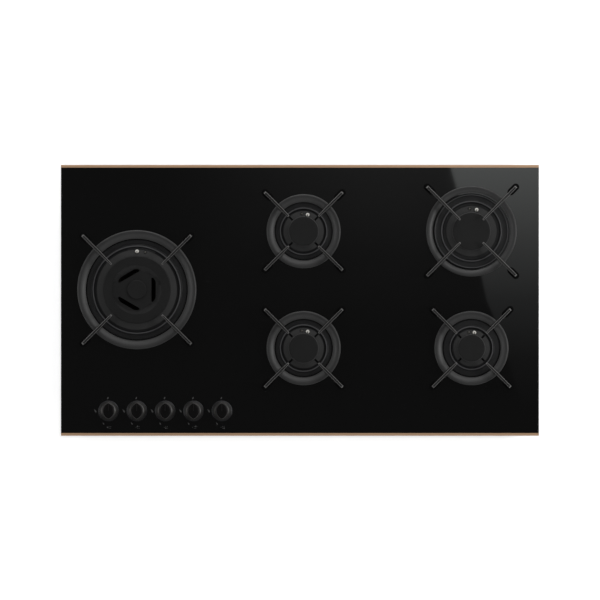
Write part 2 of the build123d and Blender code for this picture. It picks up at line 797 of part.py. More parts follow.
for b, (x, y) in zip(burners, knob_places):
    with BuildPart() as knob:
        with BuildSketch(level(x, y, knob_gap)):
            Circle(knob_radius)
        extrude(amount=knob_shoulder)
        with BuildSketch(level(x, y, knob_gap + knob_shoulder)):
            with BuildLine():
                east = ThreePointArc((0, -knob_radius), (knob_radius, 0), (0, knob_radius))
                ThreePointArc(east @ 1, (-knob_radius, 0), (0, -knob_radius))
            make_face()
        with BuildSketch(level(x, y, knob_gap + knob_height)):
            with BuildLine():
                right_arc = ThreePointArc((0, -grip_reach), (grip_half_width, 0), (0, grip_reach))
                ThreePointArc(right_arc @ 1, (-grip_half_width, 0), (0, -grip_reach))
            make_face()
        loft(ruled=True)
        # Hollow underside with a D-shaped socket in its hub.
        with BuildSketch(level(x, y, knob_gap)):
            Circle(knob_radius - knob_wall)
            Circle(spindle_radius + hub_wall, mode=Mode.SUBTRACT)
        extrude(amount=knob_shoulder - knob_wall + 1, mode=Mode.SUBTRACT)
        with BuildSketch(level(x, y, knob_gap)):
            Circle(spindle_radius + fit_play)
            with Locations((0, -spindle_flat - fit_play)):
                Rectangle(
                    2 * spindle_radius + 1, 2 * spindle_radius,
                    align=(Align.CENTER, Align.MAX), mode=Mode.SUBTRACT,
                )
        extrude(amount=bore_depth, mode=Mode.SUBTRACT)
        # Index groove, from the pointed end to the middle.
        with BuildSketch(level(x, y, knob_gap + knob_height)):
            with Locations((0, grip_reach / 2)):
                Rectangle(index_width, grip_reach)
        extrude(amount=-index_depth, mode=Mode.SUBTRACT)
    write(knob.part, f"knob_{b.name}")

    with BuildPart() as spindle:
        with BuildSketch(Plane(origin=(x, y, round_bottom))):
            Circle(spindle_radius)
        extrude(amount=knob_bottom - round_bottom)
        with BuildSketch(Plane(origin=(x, y, knob_bottom))):
            Circle(spindle_radius)
            with Locations((0, -spindle_flat)):
                Rectangle(
                    2 * spindle_radius + 1, 2 * spindle_radius,
                    align=(Align.CENTER, Align.MAX), mode=Mode.SUBTRACT,
                )
        extrude(amount=spindle_end - knob_bottom)
        with BuildSketch(Plane(origin=(x, y, tap_cover - stop_gap))):
            Circle(collar_radius)
        extrude(amount=-collar_thickness)
        with BuildSketch(Plane(origin=(x, y, tongue_bottom))):
            Rectangle(2 * (spindle_radius - tongue_margin), tongue_thickness)
        extrude(amount=round_bottom - tongue_bottom)
    write(spindle.part, f"spindle_{b.name}")

    with BuildPart() as plug:
        turn_outline(x, y, [
            (0, plug_bottom), (plug_bottom_radius, plug_bottom), (plug_top_radius, plug_top), (0, plug_top),
        ], base=0)
        with BuildSketch(Plane(origin=(x, y, plug_top))):
            Rectangle(3 * plug_top_radius, tongue_thickness + 2 * turning_play)
        extrude(amount=-(tongue_engagement + knob_push + tongue_room), mode=Mode.SUBTRACT)
    write(plug.part, f"tap_plug_{b.name}")

outlet_root = 1.0
saddle_root = 1.5
switch_drop = 3.0
outlet_reach = 16.0
outlet_radius = 5.5
saddle_width = 14.0
with BuildPart() as taps:
    for x, y in knob_places:
        turn_outline(x, y, [
            (0, tap_bottom), (tap_radius, tap_bottom), (tap_radius, tap_top),
            (spindle_radius + turning_play, tap_top), (spindle_radius + turning_play, tap_cover),
            (cavity_radius, tap_cover), (cavity_radius, plug_top),
            (plug_top_radius + turning_play, plug_top),
            (plug_bottom_radius + turning_play, plug_bottom - turning_play),
            (0, plug_bottom - turning_play),
        ], base=0)
        # Outlet boss and the saddle that clamps on the gas rail; the wall between stays closed.
        outlet_start = tap_radius - outlet_root
        with BuildSketch(Plane(origin=(x, y + outlet_start, tube_height), z_dir=(0, 1, 0))) as outlet:
            Circle(outlet_radius)
        extrude(outlet.sketch, amount=outlet_reach - outlet_start)
        saddle_start = y + tap_radius - saddle_root
        with BuildSketch(Plane(origin=(x, saddle_start, rail_height), z_dir=(0, 1, 0))) as saddle:
            Rectangle(saddle_width, 2 * rail_radius)
        extrude(saddle.sketch, amount=rail_row - saddle_start)
    with BuildSketch(Plane.YZ.offset(-overall_width / 2)):
        with Locations((rail_row, rail_height)):
            Circle(rail_radius + fit_play)
    extrude(amount=overall_width, mode=Mode.SUBTRACT)
write(taps.part, "tap_bodies")

switch_size = (12.0, 8.0, 16.0)
switch_gap = 0.2
with BuildPart() as switches:
    with BuildSketch(Plane.XY.offset(tap_top - switch_drop - switch_size[2])):
        with Locations(*[(x, y - tap_radius - switch_gap - switch_size[1] / 2) for x, y in knob_places]):
            Rectangle(switch_size[0], switch_size[1])
    extrude(amount=switch_size[2])
write(switches.part, "ignition_switches")

# ================================================================ gas rail, elbow and tubes


def pipe(points, radius, sides, bend=0.0):
    """Sweeps a bar along straight runs that bends or, with no bend radius, mitred corners join."""
    with BuildLine() as route:
        if bend:
            FilletPolyline(*points, radius=bend)
        else:
            Polyline(*points)
    start = Plane(origin=route.line @ 0, z_dir=route.line % 0)
    with BuildSketch(start) as section:
        RegularPolygon(radius, sides)
    sweep(section.sketch, path=route.line, transition=Transition.TRANSFORMED if bend else Transition.RIGHT)


elbow_height = 21.0
elbow_radius = 9.0
elbow_reach = 20.0
elbow_body = 12.0
elbow_body_height = 12.0
elbow_bore = 7.5
thread_radius = 10.48
thread_bottom = 0.5
thread_length = 10.5
undercut_radius = 9.2
undercut_height = 1.5
hexagon_across_flats = 27.0
hexagon_height = 6.0
hexagon_bottom = thread_bottom + thread_length + undercut_height
rail_overhang = 12.0
rail_bend = 20.0
rail_sides = 16
rise_start = 90.0
rise_end = 50.0
with BuildPart() as rail:
    pipe(
        [
            (knob_places[0][0] - rail_overhang, rail_row, rail_height),
            (inlet_x, rail_row, rail_height),
            (inlet_x, inlet_y - rise_start, rail_height),
            (inlet_x, inlet_y - rise_end, elbow_height),
            (inlet_x, inlet_y - elbow_reach, elbow_height),
        ],
        rail_radius, rail_sides, rail_bend,
    )
write(rail.part, "gas_rail")

with BuildPart() as elbow:
    turn_outline(inlet_x, inlet_y, [
        (elbow_bore, thread_bottom), (thread_radius, thread_bottom),
        (thread_radius, thread_bottom + thread_length), (undercut_radius, thread_bottom + thread_length),
        (undercut_radius, hexagon_bottom), (elbow_body, hexagon_bottom),
        (elbow_body, hexagon_bottom + hexagon_height + elbow_body_height),
        (0, hexagon_bottom + hexagon_height + elbow_body_height), (0, hexagon_bottom),
        (elbow_bore, hexagon_bottom),
    ], base=0)
    with BuildSketch(Plane(origin=(inlet_x, inlet_y, hexagon_bottom))):
        RegularPolygon(hexagon_across_flats / 2, 6, major_radius=False)
    extrude(amount=hexagon_height)
    with BuildSketch(Plane(origin=(inlet_x, inlet_y, elbow_height), z_dir=(0, -1, 0))):
        Circle(elbow_radius)
    extrude(amount=elbow_reach)
write(elbow.part, "inlet_elbow")

# Each tube leaves its tap to the rear, runs right and ends at its cup's inlet. The rows lie one
# behind the other so that no two tubes cross.
tube_rows = (-100.0, -124.0, -142.0, -160.0, -178.0)
tube_turns = (None, -100.0, None, 180.0, None)
tube_bend = 8.0
tube_sides = 8
controls = dict(zip([b.name for b in burners], knob_places))
order = [ultra, rear_centre, front_centre, rapid, auxiliary]
with BuildPart() as tubes:
    for b, row, turn in zip(order, tube_rows, tube_turns):
        x, y = controls[b.name]
        start = y + outlet_reach
        reach = b.holder - inlet_root + boss_length
        points = [(x, start), (x, row)]
        if turn is None:
            points += [(b.x, row), (b.x, b.y - reach)]
        else:
            points += [(turn, row), (turn, b.y), (b.x - reach, b.y)]
        pipe([(u, v, tube_height) for u, v in points], tube_radius, tube_sides, tube_bend)
write(tubes.part, "gas_tubes")

# ================================================================ ignition and flame failure
ceramic_bottom = 26.0
ceramic_edge = 0.8
with BuildPart() as electrodes:
    for b in burners:
        turn_outline(b.x + b.plug[0], b.y + b.plug[1], [
            (0, ceramic_bottom), (ceramic_radius, ceramic_bottom),
            (ceramic_radius, glass_top_z + plug_height - ceramic_edge),
            (ceramic_radius - ceramic_edge, glass_top_z + plug_height), (0, glass_top_z + plug_height),
        ], base=0)
write(electrodes.part, "igniters")

probe_bottom = 32.0
probe_point = 0.8
probe_point_height = 1.5
lead_sides = 6
capillary_bite = 1.6
capillary_radius = 0.9
capillary_height = 36.0
capillary_columns = (-215.0, -75.0, -45.0, 235.0, 265.0)
capillary_rows = (-116.0, -130.0, -144.0, -158.0, -172.0)
capillary_offset = 7.0
with BuildPart() as probes:
    for b in burners:
        turn_outline(b.x + b.probe[0], b.y + b.probe[1], [
            (0, probe_bottom), (probe_radius, probe_bottom),
            (probe_radius, glass_top_z + probe_height - probe_point_height),
            (probe_point, glass_top_z + probe_height), (0, glass_top_z + probe_height),
        ], base=0)
    # Each probe's lead runs back to its own tap, above the gas tubes.
    for b, column, row in zip(order, capillary_columns, capillary_rows):
        x, y = controls[b.name]
        v = b.y + b.probe[1]
        end_x = x + capillary_offset
        end_y = y + tap_radius - capillary_bite
        points = [(b.x + b.probe[0], v), (column, v), (column, row), (end_x, row), (end_x, end_y)]
        pipe([(p, q, capillary_height) for p, q in points], capillary_radius, lead_sides)
write(probes.part, "flame_probes")

generator_x = -230.0
generator_y = 200.0
generator_size = (64.0, 34.0, 24.0)
generator_corner = 3.0
with BuildPart() as generator:
    with BuildSketch(Plane(origin=(generator_x, generator_y, sheet))):
        RectangleRounded(generator_size[0], generator_size[1], generator_corner)
    extrude(amount=generator_size[2])
write(generator.part, "spark_generator")

lead_radius = 1.25
lead_height = 17.5
crossing_height = 21.5
lead_ends = (-250.0, -220.0, -230.0, -210.0, -240.0)
lead_stations = (None, None, (-60.0, 150.0), None, (60.0, 104.0))
with BuildPart() as leads:
    for b, end_x, station in zip(order, lead_ends, lead_stations):
        u = b.x + b.plug[0]
        v = b.y + b.plug[1]
        height = crossing_height if b is auxiliary else lead_height
        points = [(u, v)]
        if station:
            points += [(station[0], v), station]
            v = station[1]
        points += [(end_x, v), (end_x, generator_y - generator_size[1] / 2)]
        route = [(u, b.y + b.plug[1], ceramic_bottom)] + [(p, q, height) for p, q in points]
        pipe(route, lead_radius, lead_sides)
write(leads.part, "spark_leads")

terminal_x = 255.0
terminal_size = (36.0, 18.0, 16.0)
terminal_pitch = (11.0, 9.0)
terminal_well = 2.4
terminal_well_depth = 3.0
terminal_y = 200.0
with BuildPart() as terminal:
    with BuildSketch(Plane(origin=(terminal_x, terminal_y, sheet))):
        Rectangle(terminal_size[0], terminal_size[1])
    extrude(amount=terminal_size[2])
    with BuildSketch(Plane(origin=(terminal_x, terminal_y, sheet + terminal_size[2]))):
        with GridLocations(terminal_pitch[0], terminal_pitch[1], 3, 2):
            Circle(terminal_well)
    extrude(amount=-terminal_well_depth, mode=Mode.SUBTRACT)
write(terminal.part, "terminal_block")

gland_flange = 11.0
gland_flange_height = 3.0
gland_tail = 8.0
with BuildPart() as gland:
    rear_wall = Plane(origin=(gland_x, tray_length / 2, gland_height), z_dir=(0, 1, 0))
    with BuildSketch(rear_wall):
        Circle(gland_flange)
    extrude(amount=gland_flange_height)
    with BuildSketch(rear_wall):
        Circle(gland_radius)
    extrude(amount=-gland_tail)
    with BuildSketch(rear_wall.offset(gland_flange_height)):
        Circle(gland_bore)
    extrude(amount=-(gland_flange_height + gland_tail), mode=Mode.SUBTRACT)
write(gland.part, "cable_gland")
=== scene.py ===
"""A built-in five-burner gas cooktop: black glass, cast pan supports and push-and-turn knobs.

The CAD frame gives every place and size, in metres. This file gives each piece its finish, and
makes again, in finer form, the turned and moulded pieces whose curves show from above.
"""

from math import cos, hypot, pi, radians, sin

import bmesh
import bpy
from mathutils import Matrix, Vector


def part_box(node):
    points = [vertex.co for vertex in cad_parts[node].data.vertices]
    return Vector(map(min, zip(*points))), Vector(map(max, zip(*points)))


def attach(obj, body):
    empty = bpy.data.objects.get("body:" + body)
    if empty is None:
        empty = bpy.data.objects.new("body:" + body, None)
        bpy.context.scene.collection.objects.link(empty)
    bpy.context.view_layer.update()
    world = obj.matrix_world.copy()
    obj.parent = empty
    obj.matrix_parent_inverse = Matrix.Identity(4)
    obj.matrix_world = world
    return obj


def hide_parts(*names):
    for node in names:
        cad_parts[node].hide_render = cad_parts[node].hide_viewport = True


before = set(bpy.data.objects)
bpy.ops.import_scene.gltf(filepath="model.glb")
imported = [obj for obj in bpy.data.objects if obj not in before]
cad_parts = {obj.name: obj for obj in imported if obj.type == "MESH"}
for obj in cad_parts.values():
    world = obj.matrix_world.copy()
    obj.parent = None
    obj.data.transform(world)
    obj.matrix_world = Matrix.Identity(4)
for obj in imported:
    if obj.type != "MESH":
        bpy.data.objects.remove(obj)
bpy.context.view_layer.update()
scene = bpy.context.scene

# ======================================================================== base tray and glass frame
# The tray is one pressing of zinc-coated sheet steel, 1 mm thick. A folded frame of the same sheet
# is bonded under the glass, and six screws through the tray's sides hold the two together.


def linear(code):
    """The linear colour of an sRGB hex code, as Blender's sockets take it."""
    channels = [int(code[i : i + 2], 16) / 255 for i in (1, 3, 5)]
    return tuple(c / 12.92 if c <= 0.04045 else ((c + 0.055) / 1.055) ** 2.4 for c in channels) + (1.0,)


def add(material, kind, inputs=None, tones=(), **settings):
    """Adds a node with its settings, a ramp's tones, and its inputs as values or as links."""
    made = material.node_tree.nodes.new(kind)
    for name, value in settings.items():
        setattr(made, name, value)
    for stop, code in enumerate(tones):
        made.color_ramp.elements[stop].color = linear(code)
    for name, value in (inputs or {}).items():
        if isinstance(value, bpy.types.NodeSocket):
            material.node_tree.links.new(value, made.inputs[name])
        else:
            made.inputs[name].default_value = value
    return made


def finish_of(name):
    """A new material, empty but for the node that gives each point's place, and that node."""
    material = bpy.data.materials.new(name)
    material.use_nodes = True
    material.node_tree.nodes.clear()
    return material, add(material, "ShaderNodeTexCoord")


def dress(node, material):
    """Gives a CAD node its finish."""
    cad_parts[node].data.materials[0] = material


# Hot-dip zinc on sheet: a dull metal with crystals 6 to 10 mm wide, each a slightly other grey.
zinc_coat, place = finish_of("hot_dip_zinc_coat")
crystals = add(zinc_coat, "ShaderNodeTexVoronoi", {"Vector": place.outputs["Object"], "Scale": 1 / 0.008})
greys = add(
    zinc_coat, "ShaderNodeValToRGB", {"Fac": crystals.outputs["Color"]}, tones=("#8c9194", "#b3b8ba")
)
dulling = add(
    zinc_coat, "ShaderNodeMapRange",
    {"Value": crystals.outputs["Color"], "To Min": 0.38, "To Max": 0.56},
)
handling = add(zinc_coat, "ShaderNodeTexNoise", {"Vector": place.outputs["Object"], "Scale": 1 / 0.002})
ripple = add(
    zinc_coat, "ShaderNodeBump", {"Height": handling.outputs["Fac"], "Strength": 0.08, "Distance": 0.0003}
)
coat = add(
    zinc_coat, "ShaderNodeBsdfPrincipled",
    {"Base Color": greys.outputs["Color"], "Roughness": dulling.outputs["Result"], "Metallic": 1.0,
     "Normal": ripple.outputs["Normal"]},
)
add(zinc_coat, "ShaderNodeOutputMaterial", {"Surface": coat.outputs["BSDF"]})
dress("base_tray", zinc_coat)
dress("glass_frame", zinc_coat)
dress("burner_brackets", zinc_coat)

# Bright zinc plating on the screws and the inlet elbow: smooth, slightly blue, with turning marks drawn
# 1.8 mm apart so that they show.
zinc_plate, place = finish_of("bright_zinc_plate")
turning = add(
    zinc_plate, "ShaderNodeTexWave", {"Vector": place.outputs["Object"], "Scale": 1 / 0.0018},
    bands_direction="Z", wave_profile="SIN",
)
marks = add(
    zinc_plate, "ShaderNodeBump", {"Height": turning.outputs["Fac"], "Strength": 0.35, "Distance": 0.0004}
)
mottling = add(zinc_plate, "ShaderNodeTexNoise", {"Vector": place.outputs["Object"], "Scale": 1 / 0.004})
plate_greys = add(
    zinc_plate, "ShaderNodeValToRGB", {"Fac": mottling.outputs["Fac"]}, tones=("#a4a9ad", "#c5c9cc")
)
plate = add(
    zinc_plate, "ShaderNodeBsdfPrincipled",
    {"Base Color": plate_greys.outputs["Color"], "Roughness": 0.28, "Metallic": 1.0,
     "Normal": marks.outputs["Normal"]},
)
add(zinc_plate, "ShaderNodeOutputMaterial", {"Surface": plate.outputs["BSDF"]})
for node in ("tray_screws", "burner_screws", "inlet_elbow"):
    dress(node, zinc_plate)

# ======================================================================== seal
# A strip of closed-cell foam glued under the glass's rim. It lies on the worktop round the cut-out
# and keeps spills out of the cupboard below.

# Cut cells 0.8 mm wide make the foam a dull, pitted black.
foam, place = finish_of("closed_cell_foam")
cells = add(foam, "ShaderNodeTexVoronoi", {"Vector": place.outputs["Object"], "Scale": 1 / 0.0008})
pitting = add(
    foam, "ShaderNodeBump", {"Height": cells.outputs["Distance"], "Strength": 0.5, "Distance": 0.0002}
)
foam_greys = add(
    foam, "ShaderNodeValToRGB", {"Fac": cells.outputs["Distance"]}, tones=("#141414", "#2c2c2d")
)
strip = add(
    foam, "ShaderNodeBsdfPrincipled",
    {"Base Color": foam_greys.outputs["Color"], "Roughness": 0.9, "Normal": pitting.outputs["Normal"]},
)
add(foam, "ShaderNodeOutputMaterial", {"Surface": strip.outputs["BSDF"]})
dress("worktop_seal", foam)

# ======================================================================== burner cups, taps and brass
# Cups and tap bodies are pressure die castings of aluminium, left as cast. Injectors and the taps'
# conical plugs are turned from brass bar.

# As cast: grey metal in two close tones, with a fine grit drawn 1.2 mm wide so that it shows.
cast_skin, place = finish_of("aluminium_die_casting")
skin = add(
    cast_skin, "ShaderNodeTexNoise", {"Vector": place.outputs["Object"], "Scale": 1 / 0.0012, "Detail": 3.0}
)
skin_greys = add(
    cast_skin, "ShaderNodeValToRGB", {"Fac": skin.outputs["Fac"]}, tones=("#8f9193", "#b9babb")
)
grit = add(
    cast_skin, "ShaderNodeBump", {"Height": skin.outputs["Fac"], "Strength": 0.3, "Distance": 0.0003}
)
casting = add(
    cast_skin, "ShaderNodeBsdfPrincipled",
    {"Base Color": skin_greys.outputs["Color"], "Roughness": 0.5, "Metallic": 1.0,
     "Normal": grit.outputs["Normal"]},
)
add(cast_skin, "ShaderNodeOutputMaterial", {"Surface": casting.outputs["BSDF"]})
dress("tap_bodies", cast_skin)

# The cups have the same skin, stained by heat and cooking fat, and darkened further as painted shade so the
# deep air slots above them look dark.
stained_shaded_skin, place = finish_of("heat_stained_shaded_casting")
stain = add(
    stained_shaded_skin, "ShaderNodeTexNoise", {"Vector": place.outputs["Object"], "Scale": 1 / 0.01, "Detail": 4.0}
)
stain_and_shade_tones = add(
    stained_shaded_skin, "ShaderNodeValToRGB", {"Fac": stain.outputs["Fac"]}, tones=("#3f3c39", "#5c5956")
)
sand_skin = add(
    stained_shaded_skin, "ShaderNodeTexNoise", {"Vector": place.outputs["Object"], "Scale": 1 / 0.0012}
)
cup_grit = add(
    stained_shaded_skin, "ShaderNodeBump", {"Height": sand_skin.outputs["Fac"], "Strength": 0.3, "Distance": 0.0003}
)
cup_casting = add(
    stained_shaded_skin, "ShaderNodeBsdfPrincipled",
    {"Base Color": stain_and_shade_tones.outputs["Color"], "Roughness": 0.6, "Metallic": 1.0,
     "Normal": cup_grit.outputs["Normal"]},
)
add(stained_shaded_skin, "ShaderNodeOutputMaterial", {"Surface": cup_casting.outputs["BSDF"]})
dress("burner_cups", stained_shaded_skin)

burner_names = ("ultra", "rear_centre", "front_centre", "rapid", "auxiliary")

# Turned brass: fine rings 0.3 mm apart, drawn at 0.6 mm so that they show.
brass, place = finish_of("turned_brass")
rings = add(
    brass, "ShaderNodeTexWave", {"Vector": place.outputs["Object"], "Scale": 1 / 0.0006, "Distortion": 0.4},
    bands_direction="Z",
)
brass_tones = add(brass, "ShaderNodeValToRGB", {"Fac": rings.outputs["Fac"]}, tones=("#b08d4a", "#d3b26c"))
lines = add(brass, "ShaderNodeBump", {"Height": rings.outputs["Fac"], "Strength": 0.15, "Distance": 0.0001})
bar = add(
    brass, "ShaderNodeBsdfPrincipled",
    {"Base Color": brass_tones.outputs["Color"], "Roughness": 0.26, "Metallic": 1.0,
     "Normal": lines.outputs["Normal"]},
)
add(brass, "ShaderNodeOutputMaterial", {"Surface": bar.outputs["BSDF"]})
dress("injectors", brass)
for name in burner_names:
    dress(f"tap_plug_{name}", brass)

# ======================================================================== gas rail and tubes
# The rail is zinc-coated steel tube. The five tubes to the burners are drawn aluminium, 8 mm wide,
# bent by machine and left bare.

dress("gas_rail", zinc_coat)
# Bare drawn aluminium: pale, with scuffs 1.5 mm wide that change its gloss.
drawn, place = finish_of("drawn_aluminium_tube")
streaks = add(
    drawn, "ShaderNodeTexNoise", {"Vector": place.outputs["Object"], "Scale": 1 / 0.0015, "Detail": 2.0}
)
drawn_greys = add(
    drawn, "ShaderNodeValToRGB", {"Fac": streaks.outputs["Fac"]}, tones=("#b4b6b8", "#d2d3d4")
)
scuffs = add(
    drawn, "ShaderNodeMapRange", {"Value": streaks.outputs["Fac"], "To Min": 0.22, "To Max": 0.42}
)
tube = add(
    drawn, "ShaderNodeBsdfPrincipled",
    {"Base Color": drawn_greys.outputs["Color"], "Roughness": scuffs.outputs["Result"], "Metallic": 1.0},
)
add(drawn, "ShaderNodeOutputMaterial", {"Surface": tube.outputs["BSDF"]})
dress("gas_tubes", drawn)

# ======================================================================== electrical pieces in the tray
# The spark generator, the switches on the taps and the cable gland are moulded in black nylon, the
# terminal block in natural nylon, and the spark leads are covered in silicone rubber.

# Moulded in a spark-eroded tool: black, with a grain that breaks up its gloss, drawn 0.7 mm wide so
# that it shows.
nylon, place = finish_of("moulded_black_nylon")
spark_texture = add(nylon, "ShaderNodeTexNoise", {"Vector": place.outputs["Object"], "Scale": 1 / 0.0007})
erosion = add(
    nylon, "ShaderNodeBump", {"Height": spark_texture.outputs["Fac"], "Strength": 0.35, "Distance": 0.0001}
)
sheen = add(
    nylon, "ShaderNodeMapRange", {"Value": spark_texture.outputs["Fac"], "To Min": 0.42, "To Max": 0.6}
)
moulding = add(
    nylon, "ShaderNodeBsdfPrincipled",
    {"Base Color": linear("#1b1b1c"), "Roughness": sheen.outputs["Result"], "IOR": 1.53,
     "Normal": erosion.outputs["Normal"]},
)
add(nylon, "ShaderNodeOutputMaterial", {"Surface": moulding.outputs["BSDF"]})
for node in ("spark_generator", "ignition_switches", "cable_gland"):
    dress(node, nylon)


def mottled(name, patch, tones, shine, detail=2.0):
    """A finish whose tone drifts between two, in patches of a size in metres."""
    material, place = finish_of(name)
    drift = add(
        material, "ShaderNodeTexNoise",
        {"Vector": place.outputs["Object"], "Scale": 1 / patch, "Detail": detail},
    )
    colour = add(material, "ShaderNodeValToRGB", {"Fac": drift.outputs["Fac"]}, tones=tones)
    surface = add(material, "ShaderNodeBsdfPrincipled", {"Base Color": colour.outputs["Color"], **shine})
    add(material, "ShaderNodeOutputMaterial", {"Surface": surface.outputs["BSDF"]})
    return material


# Natural nylon is milky, and lets a little light in.
natural_nylon = mottled(
    "natural_nylon", 0.006, ("#d9d6cc", "#e9e7e0"), {"Roughness": 0.45, "IOR": 1.53, "Subsurface Weight": 0.1}
)
dress("terminal_block", natural_nylon)

# Silicone rubber is buff here, and dull with dust.
sleeve = mottled("silicone_lead_cover", 0.003, ("#b9b2a6", "#cfc9be"), {"Roughness": 0.6, "IOR": 1.43})
dress("spark_leads", sleeve)

# ======================================================================== glass top
# One sheet of 8 mm tempered glass, printed black with ceramic ink underneath, so from above it is a
# black mirror. Its short edges are ground and polished, and stay bare.

glass_top_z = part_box("glass_top")[1].z

# Wiping leaves a film in drifts 60 mm wide, which varies its gloss. Its edges are rougher and greener.
black_glass, place = finish_of("ink_printed_black_glass")
wiping = add(
    black_glass, "ShaderNodeTexNoise",
    {"Vector": place.outputs["Object"], "Scale": 1 / 0.06, "Detail": 3.0, "Distortion": 0.6},
)
film = add(
    black_glass, "ShaderNodeMapRange", {"Value": wiping.outputs["Fac"], "To Min": 0.02, "To Max": 0.05}
)
# A face that points up less than this belongs to the sheet's edge.
side_on = 0.95
facing = add(black_glass, "ShaderNodeSeparateXYZ", {"Vector": place.outputs["Normal"]})
edge_mask = add(
    black_glass, "ShaderNodeMath", {0: facing.outputs["Z"], 1: side_on}, operation="LESS_THAN"
)
ground = add(
    black_glass, "ShaderNodeMapRange",
    {"Value": edge_mask.outputs["Value"], "To Min": 0.0, "To Max": 0.2},
)
roughness = add(
    black_glass, "ShaderNodeMath", {0: film.outputs["Result"], 1: ground.outputs["Result"]}, operation="ADD"
)
ink = add(
    black_glass, "ShaderNodeMix",
    {"Factor": edge_mask.outputs["Value"], 6: linear("#050505"), 7: linear("#0d1211")}, data_type="RGBA",
)
sheet = add(
    black_glass, "ShaderNodeBsdfPrincipled",
    {"Base Color": ink.outputs[2], "Roughness": roughness.outputs["Value"], "IOR": 1.52},
)
add(black_glass, "ShaderNodeOutputMaterial", {"Surface": sheet.outputs["BSDF"]})
dress("glass_top", black_glass)

# ======================================================================== edge strips
# Two lengths of drawn aluminium angle, anodised in copper colour and bonded along the front and the
# rear edge. The drawing die leaves fine lines along them, drawn here 0.4 mm apart so that they show.

copper, place = finish_of("copper_anodised_aluminium")
along = add(
    copper, "ShaderNodeMapping", {"Vector": place.outputs["Object"], "Scale": (6.0, 2500.0, 2500.0)}
)
drawing = add(
    copper, "ShaderNodeTexNoise", {"Vector": along.outputs["Vector"], "Scale": 1.0, "Detail": 3.0}
)
copper_tones = add(
    copper, "ShaderNodeValToRGB", {"Fac": drawing.outputs["Fac"]}, tones=("#a48468", "#ba997c")
)
satin = add(copper, "ShaderNodeMapRange", {"Value": drawing.outputs["Fac"], "To Min": 0.3, "To Max": 0.45})
angle = add(
    copper, "ShaderNodeBsdfPrincipled",
    {"Base Color": copper_tones.outputs["Color"], "Roughness": satin.outputs["Result"], "Metallic": 0.35},
)
add(copper, "ShaderNodeOutputMaterial", {"Surface": angle.outputs["BSDF"]})
dress("front_trim", copper)
dress("rear_trim", copper)

# ======================================================================== spill rings
# A pressed steel ring round each burner, enamelled satin black in the kiln. Its raised bead stops a
# spill from running under the crown, and it is clamped between the glass and the burner cup.

# Sizes from here on are in mm, which this turns to metres.
mm = 0.001
# Each burner in mm: place in plan, then the radii of its cap, cup collar, bead and spill ring.
burners = {
    "ultra": (-307, 20, 64, 67.5, 82, 94),
    "rear_centre": (7, 130, 28.3, 34, 43.5, 53.2),
    "front_centre": (7, -90, 28.3, 34, 43.5, 53.2),
    "rapid": (323, 130, 36, 43.5, 56, 71.4),
    "auxiliary": (323, -90, 26, 31, 40, 53.2),
}
# A point nearer to the axis than this is on it. No rounded corner takes more than this share of an edge.
on_axis, corner_share = 0.01, 0.45


def soften(outline, reach, steps=4):
    """Rounds the corners of a closed (radius, height) outline, but for those on the axis."""
    rounded = []
    for i, point in enumerate(outline):
        here = Vector(point)
        back, on = Vector(outline[i - 1]) - here, Vector(outline[(i + 1) % len(outline)]) - here
        if here.x < on_axis:
            rounded.append(here)
            continue
        start = here + back.normalized() * min(reach, back.length * corner_share)
        end = here + on.normalized() * min(reach, on.length * corner_share)
        for step in range(steps + 1):
            t = step / steps
            rounded.append(start * (1 - t) ** 2 + here * 2 * t * (1 - t) + end * t * t)
    return rounded


def turn(mesh, outline, x, y, base, steps=128):
    """Adds to a mesh the solid that a closed (radius, height) outline sweeps round an upright axis."""
    rows = []
    for radius, height in outline:
        spots = 1 if radius < on_axis else steps
        rows.append([
            mesh.verts.new((
                (x + radius * cos(2 * pi * k / steps)) * mm, (y + radius * sin(2 * pi * k / steps)) * mm,
                base + height * mm,
            ))
            for k in range(spots)
        ])
    for low, high in zip(rows, rows[1:] + rows[:1]):
        if len(low) == 1 and len(high) == 1:
            continue
        for k in range(steps):
            j = (k + 1) % steps
            corners = [low[k % len(low)], low[j % len(low)], high[j % len(high)], high[k % len(high)]]
            mesh.faces.new(list(dict.fromkeys(corners)))


def place_in_scene(name, mesh, material=None):
    """Turns a finished bmesh into an object, with a material if one is given."""
    data = bpy.data.meshes.new(name)
    mesh.to_mesh(data)
    mesh.free()
    if material:
        data.materials.append(material)
    made = bpy.data.objects.new(name, data)
    scene.collection.objects.link(made)
    return made


def make(name, mesh, material, body, crease=38):
    """Turns a finished bmesh into a piece that rides on a body, smooth but for corners over crease."""
    bmesh.ops.recalc_face_normals(mesh, faces=mesh.faces)
    piece = place_in_scene(name, mesh, material)
    piece.data.shade_smooth()
    piece.data.set_sharp_from_angle(angle=radians(crease))
    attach(piece, body)
    return piece


# Kiln enamel on steel: satin black, with a faint waviness 3 mm across from the melt.
satin_enamel, place = finish_of("satin_black_enamel")
melt = add(satin_enamel, "ShaderNodeTexNoise", {"Vector": place.outputs["Object"], "Scale": 1 / 0.003})
waviness = add(
    satin_enamel, "ShaderNodeBump", {"Height": melt.outputs["Fac"], "Strength": 0.06, "Distance": 0.0004}
)
burnt = add(
    satin_enamel, "ShaderNodeTexNoise", {"Vector": place.outputs["Object"], "Scale": 1 / 0.02, "Detail": 4.0}
)
enamel_tones = add(
    satin_enamel, "ShaderNodeValToRGB", {"Fac": burnt.outputs["Fac"]}, tones=("#131313", "#181819")
)
# The crests of the beads are coloured lighter, a painted highlight that shows as thin lines. These heights,
# and those of all masks below, are in mm above the glass.
bead_top, crest_low, crest_high = 5.0, 4.3, 4.9


def height_mask(material, place, none, full):
    """A mask that grows from 0 to 1 between two heights, given in mm above the glass."""
    spot = add(material, "ShaderNodeSeparateXYZ", {"Vector": place.outputs["Object"]})
    return add(
        material, "ShaderNodeMapRange",
        {"Value": spot.outputs["Z"], "From Min": glass_top_z + none * mm,
         "From Max": glass_top_z + full * mm},
    )
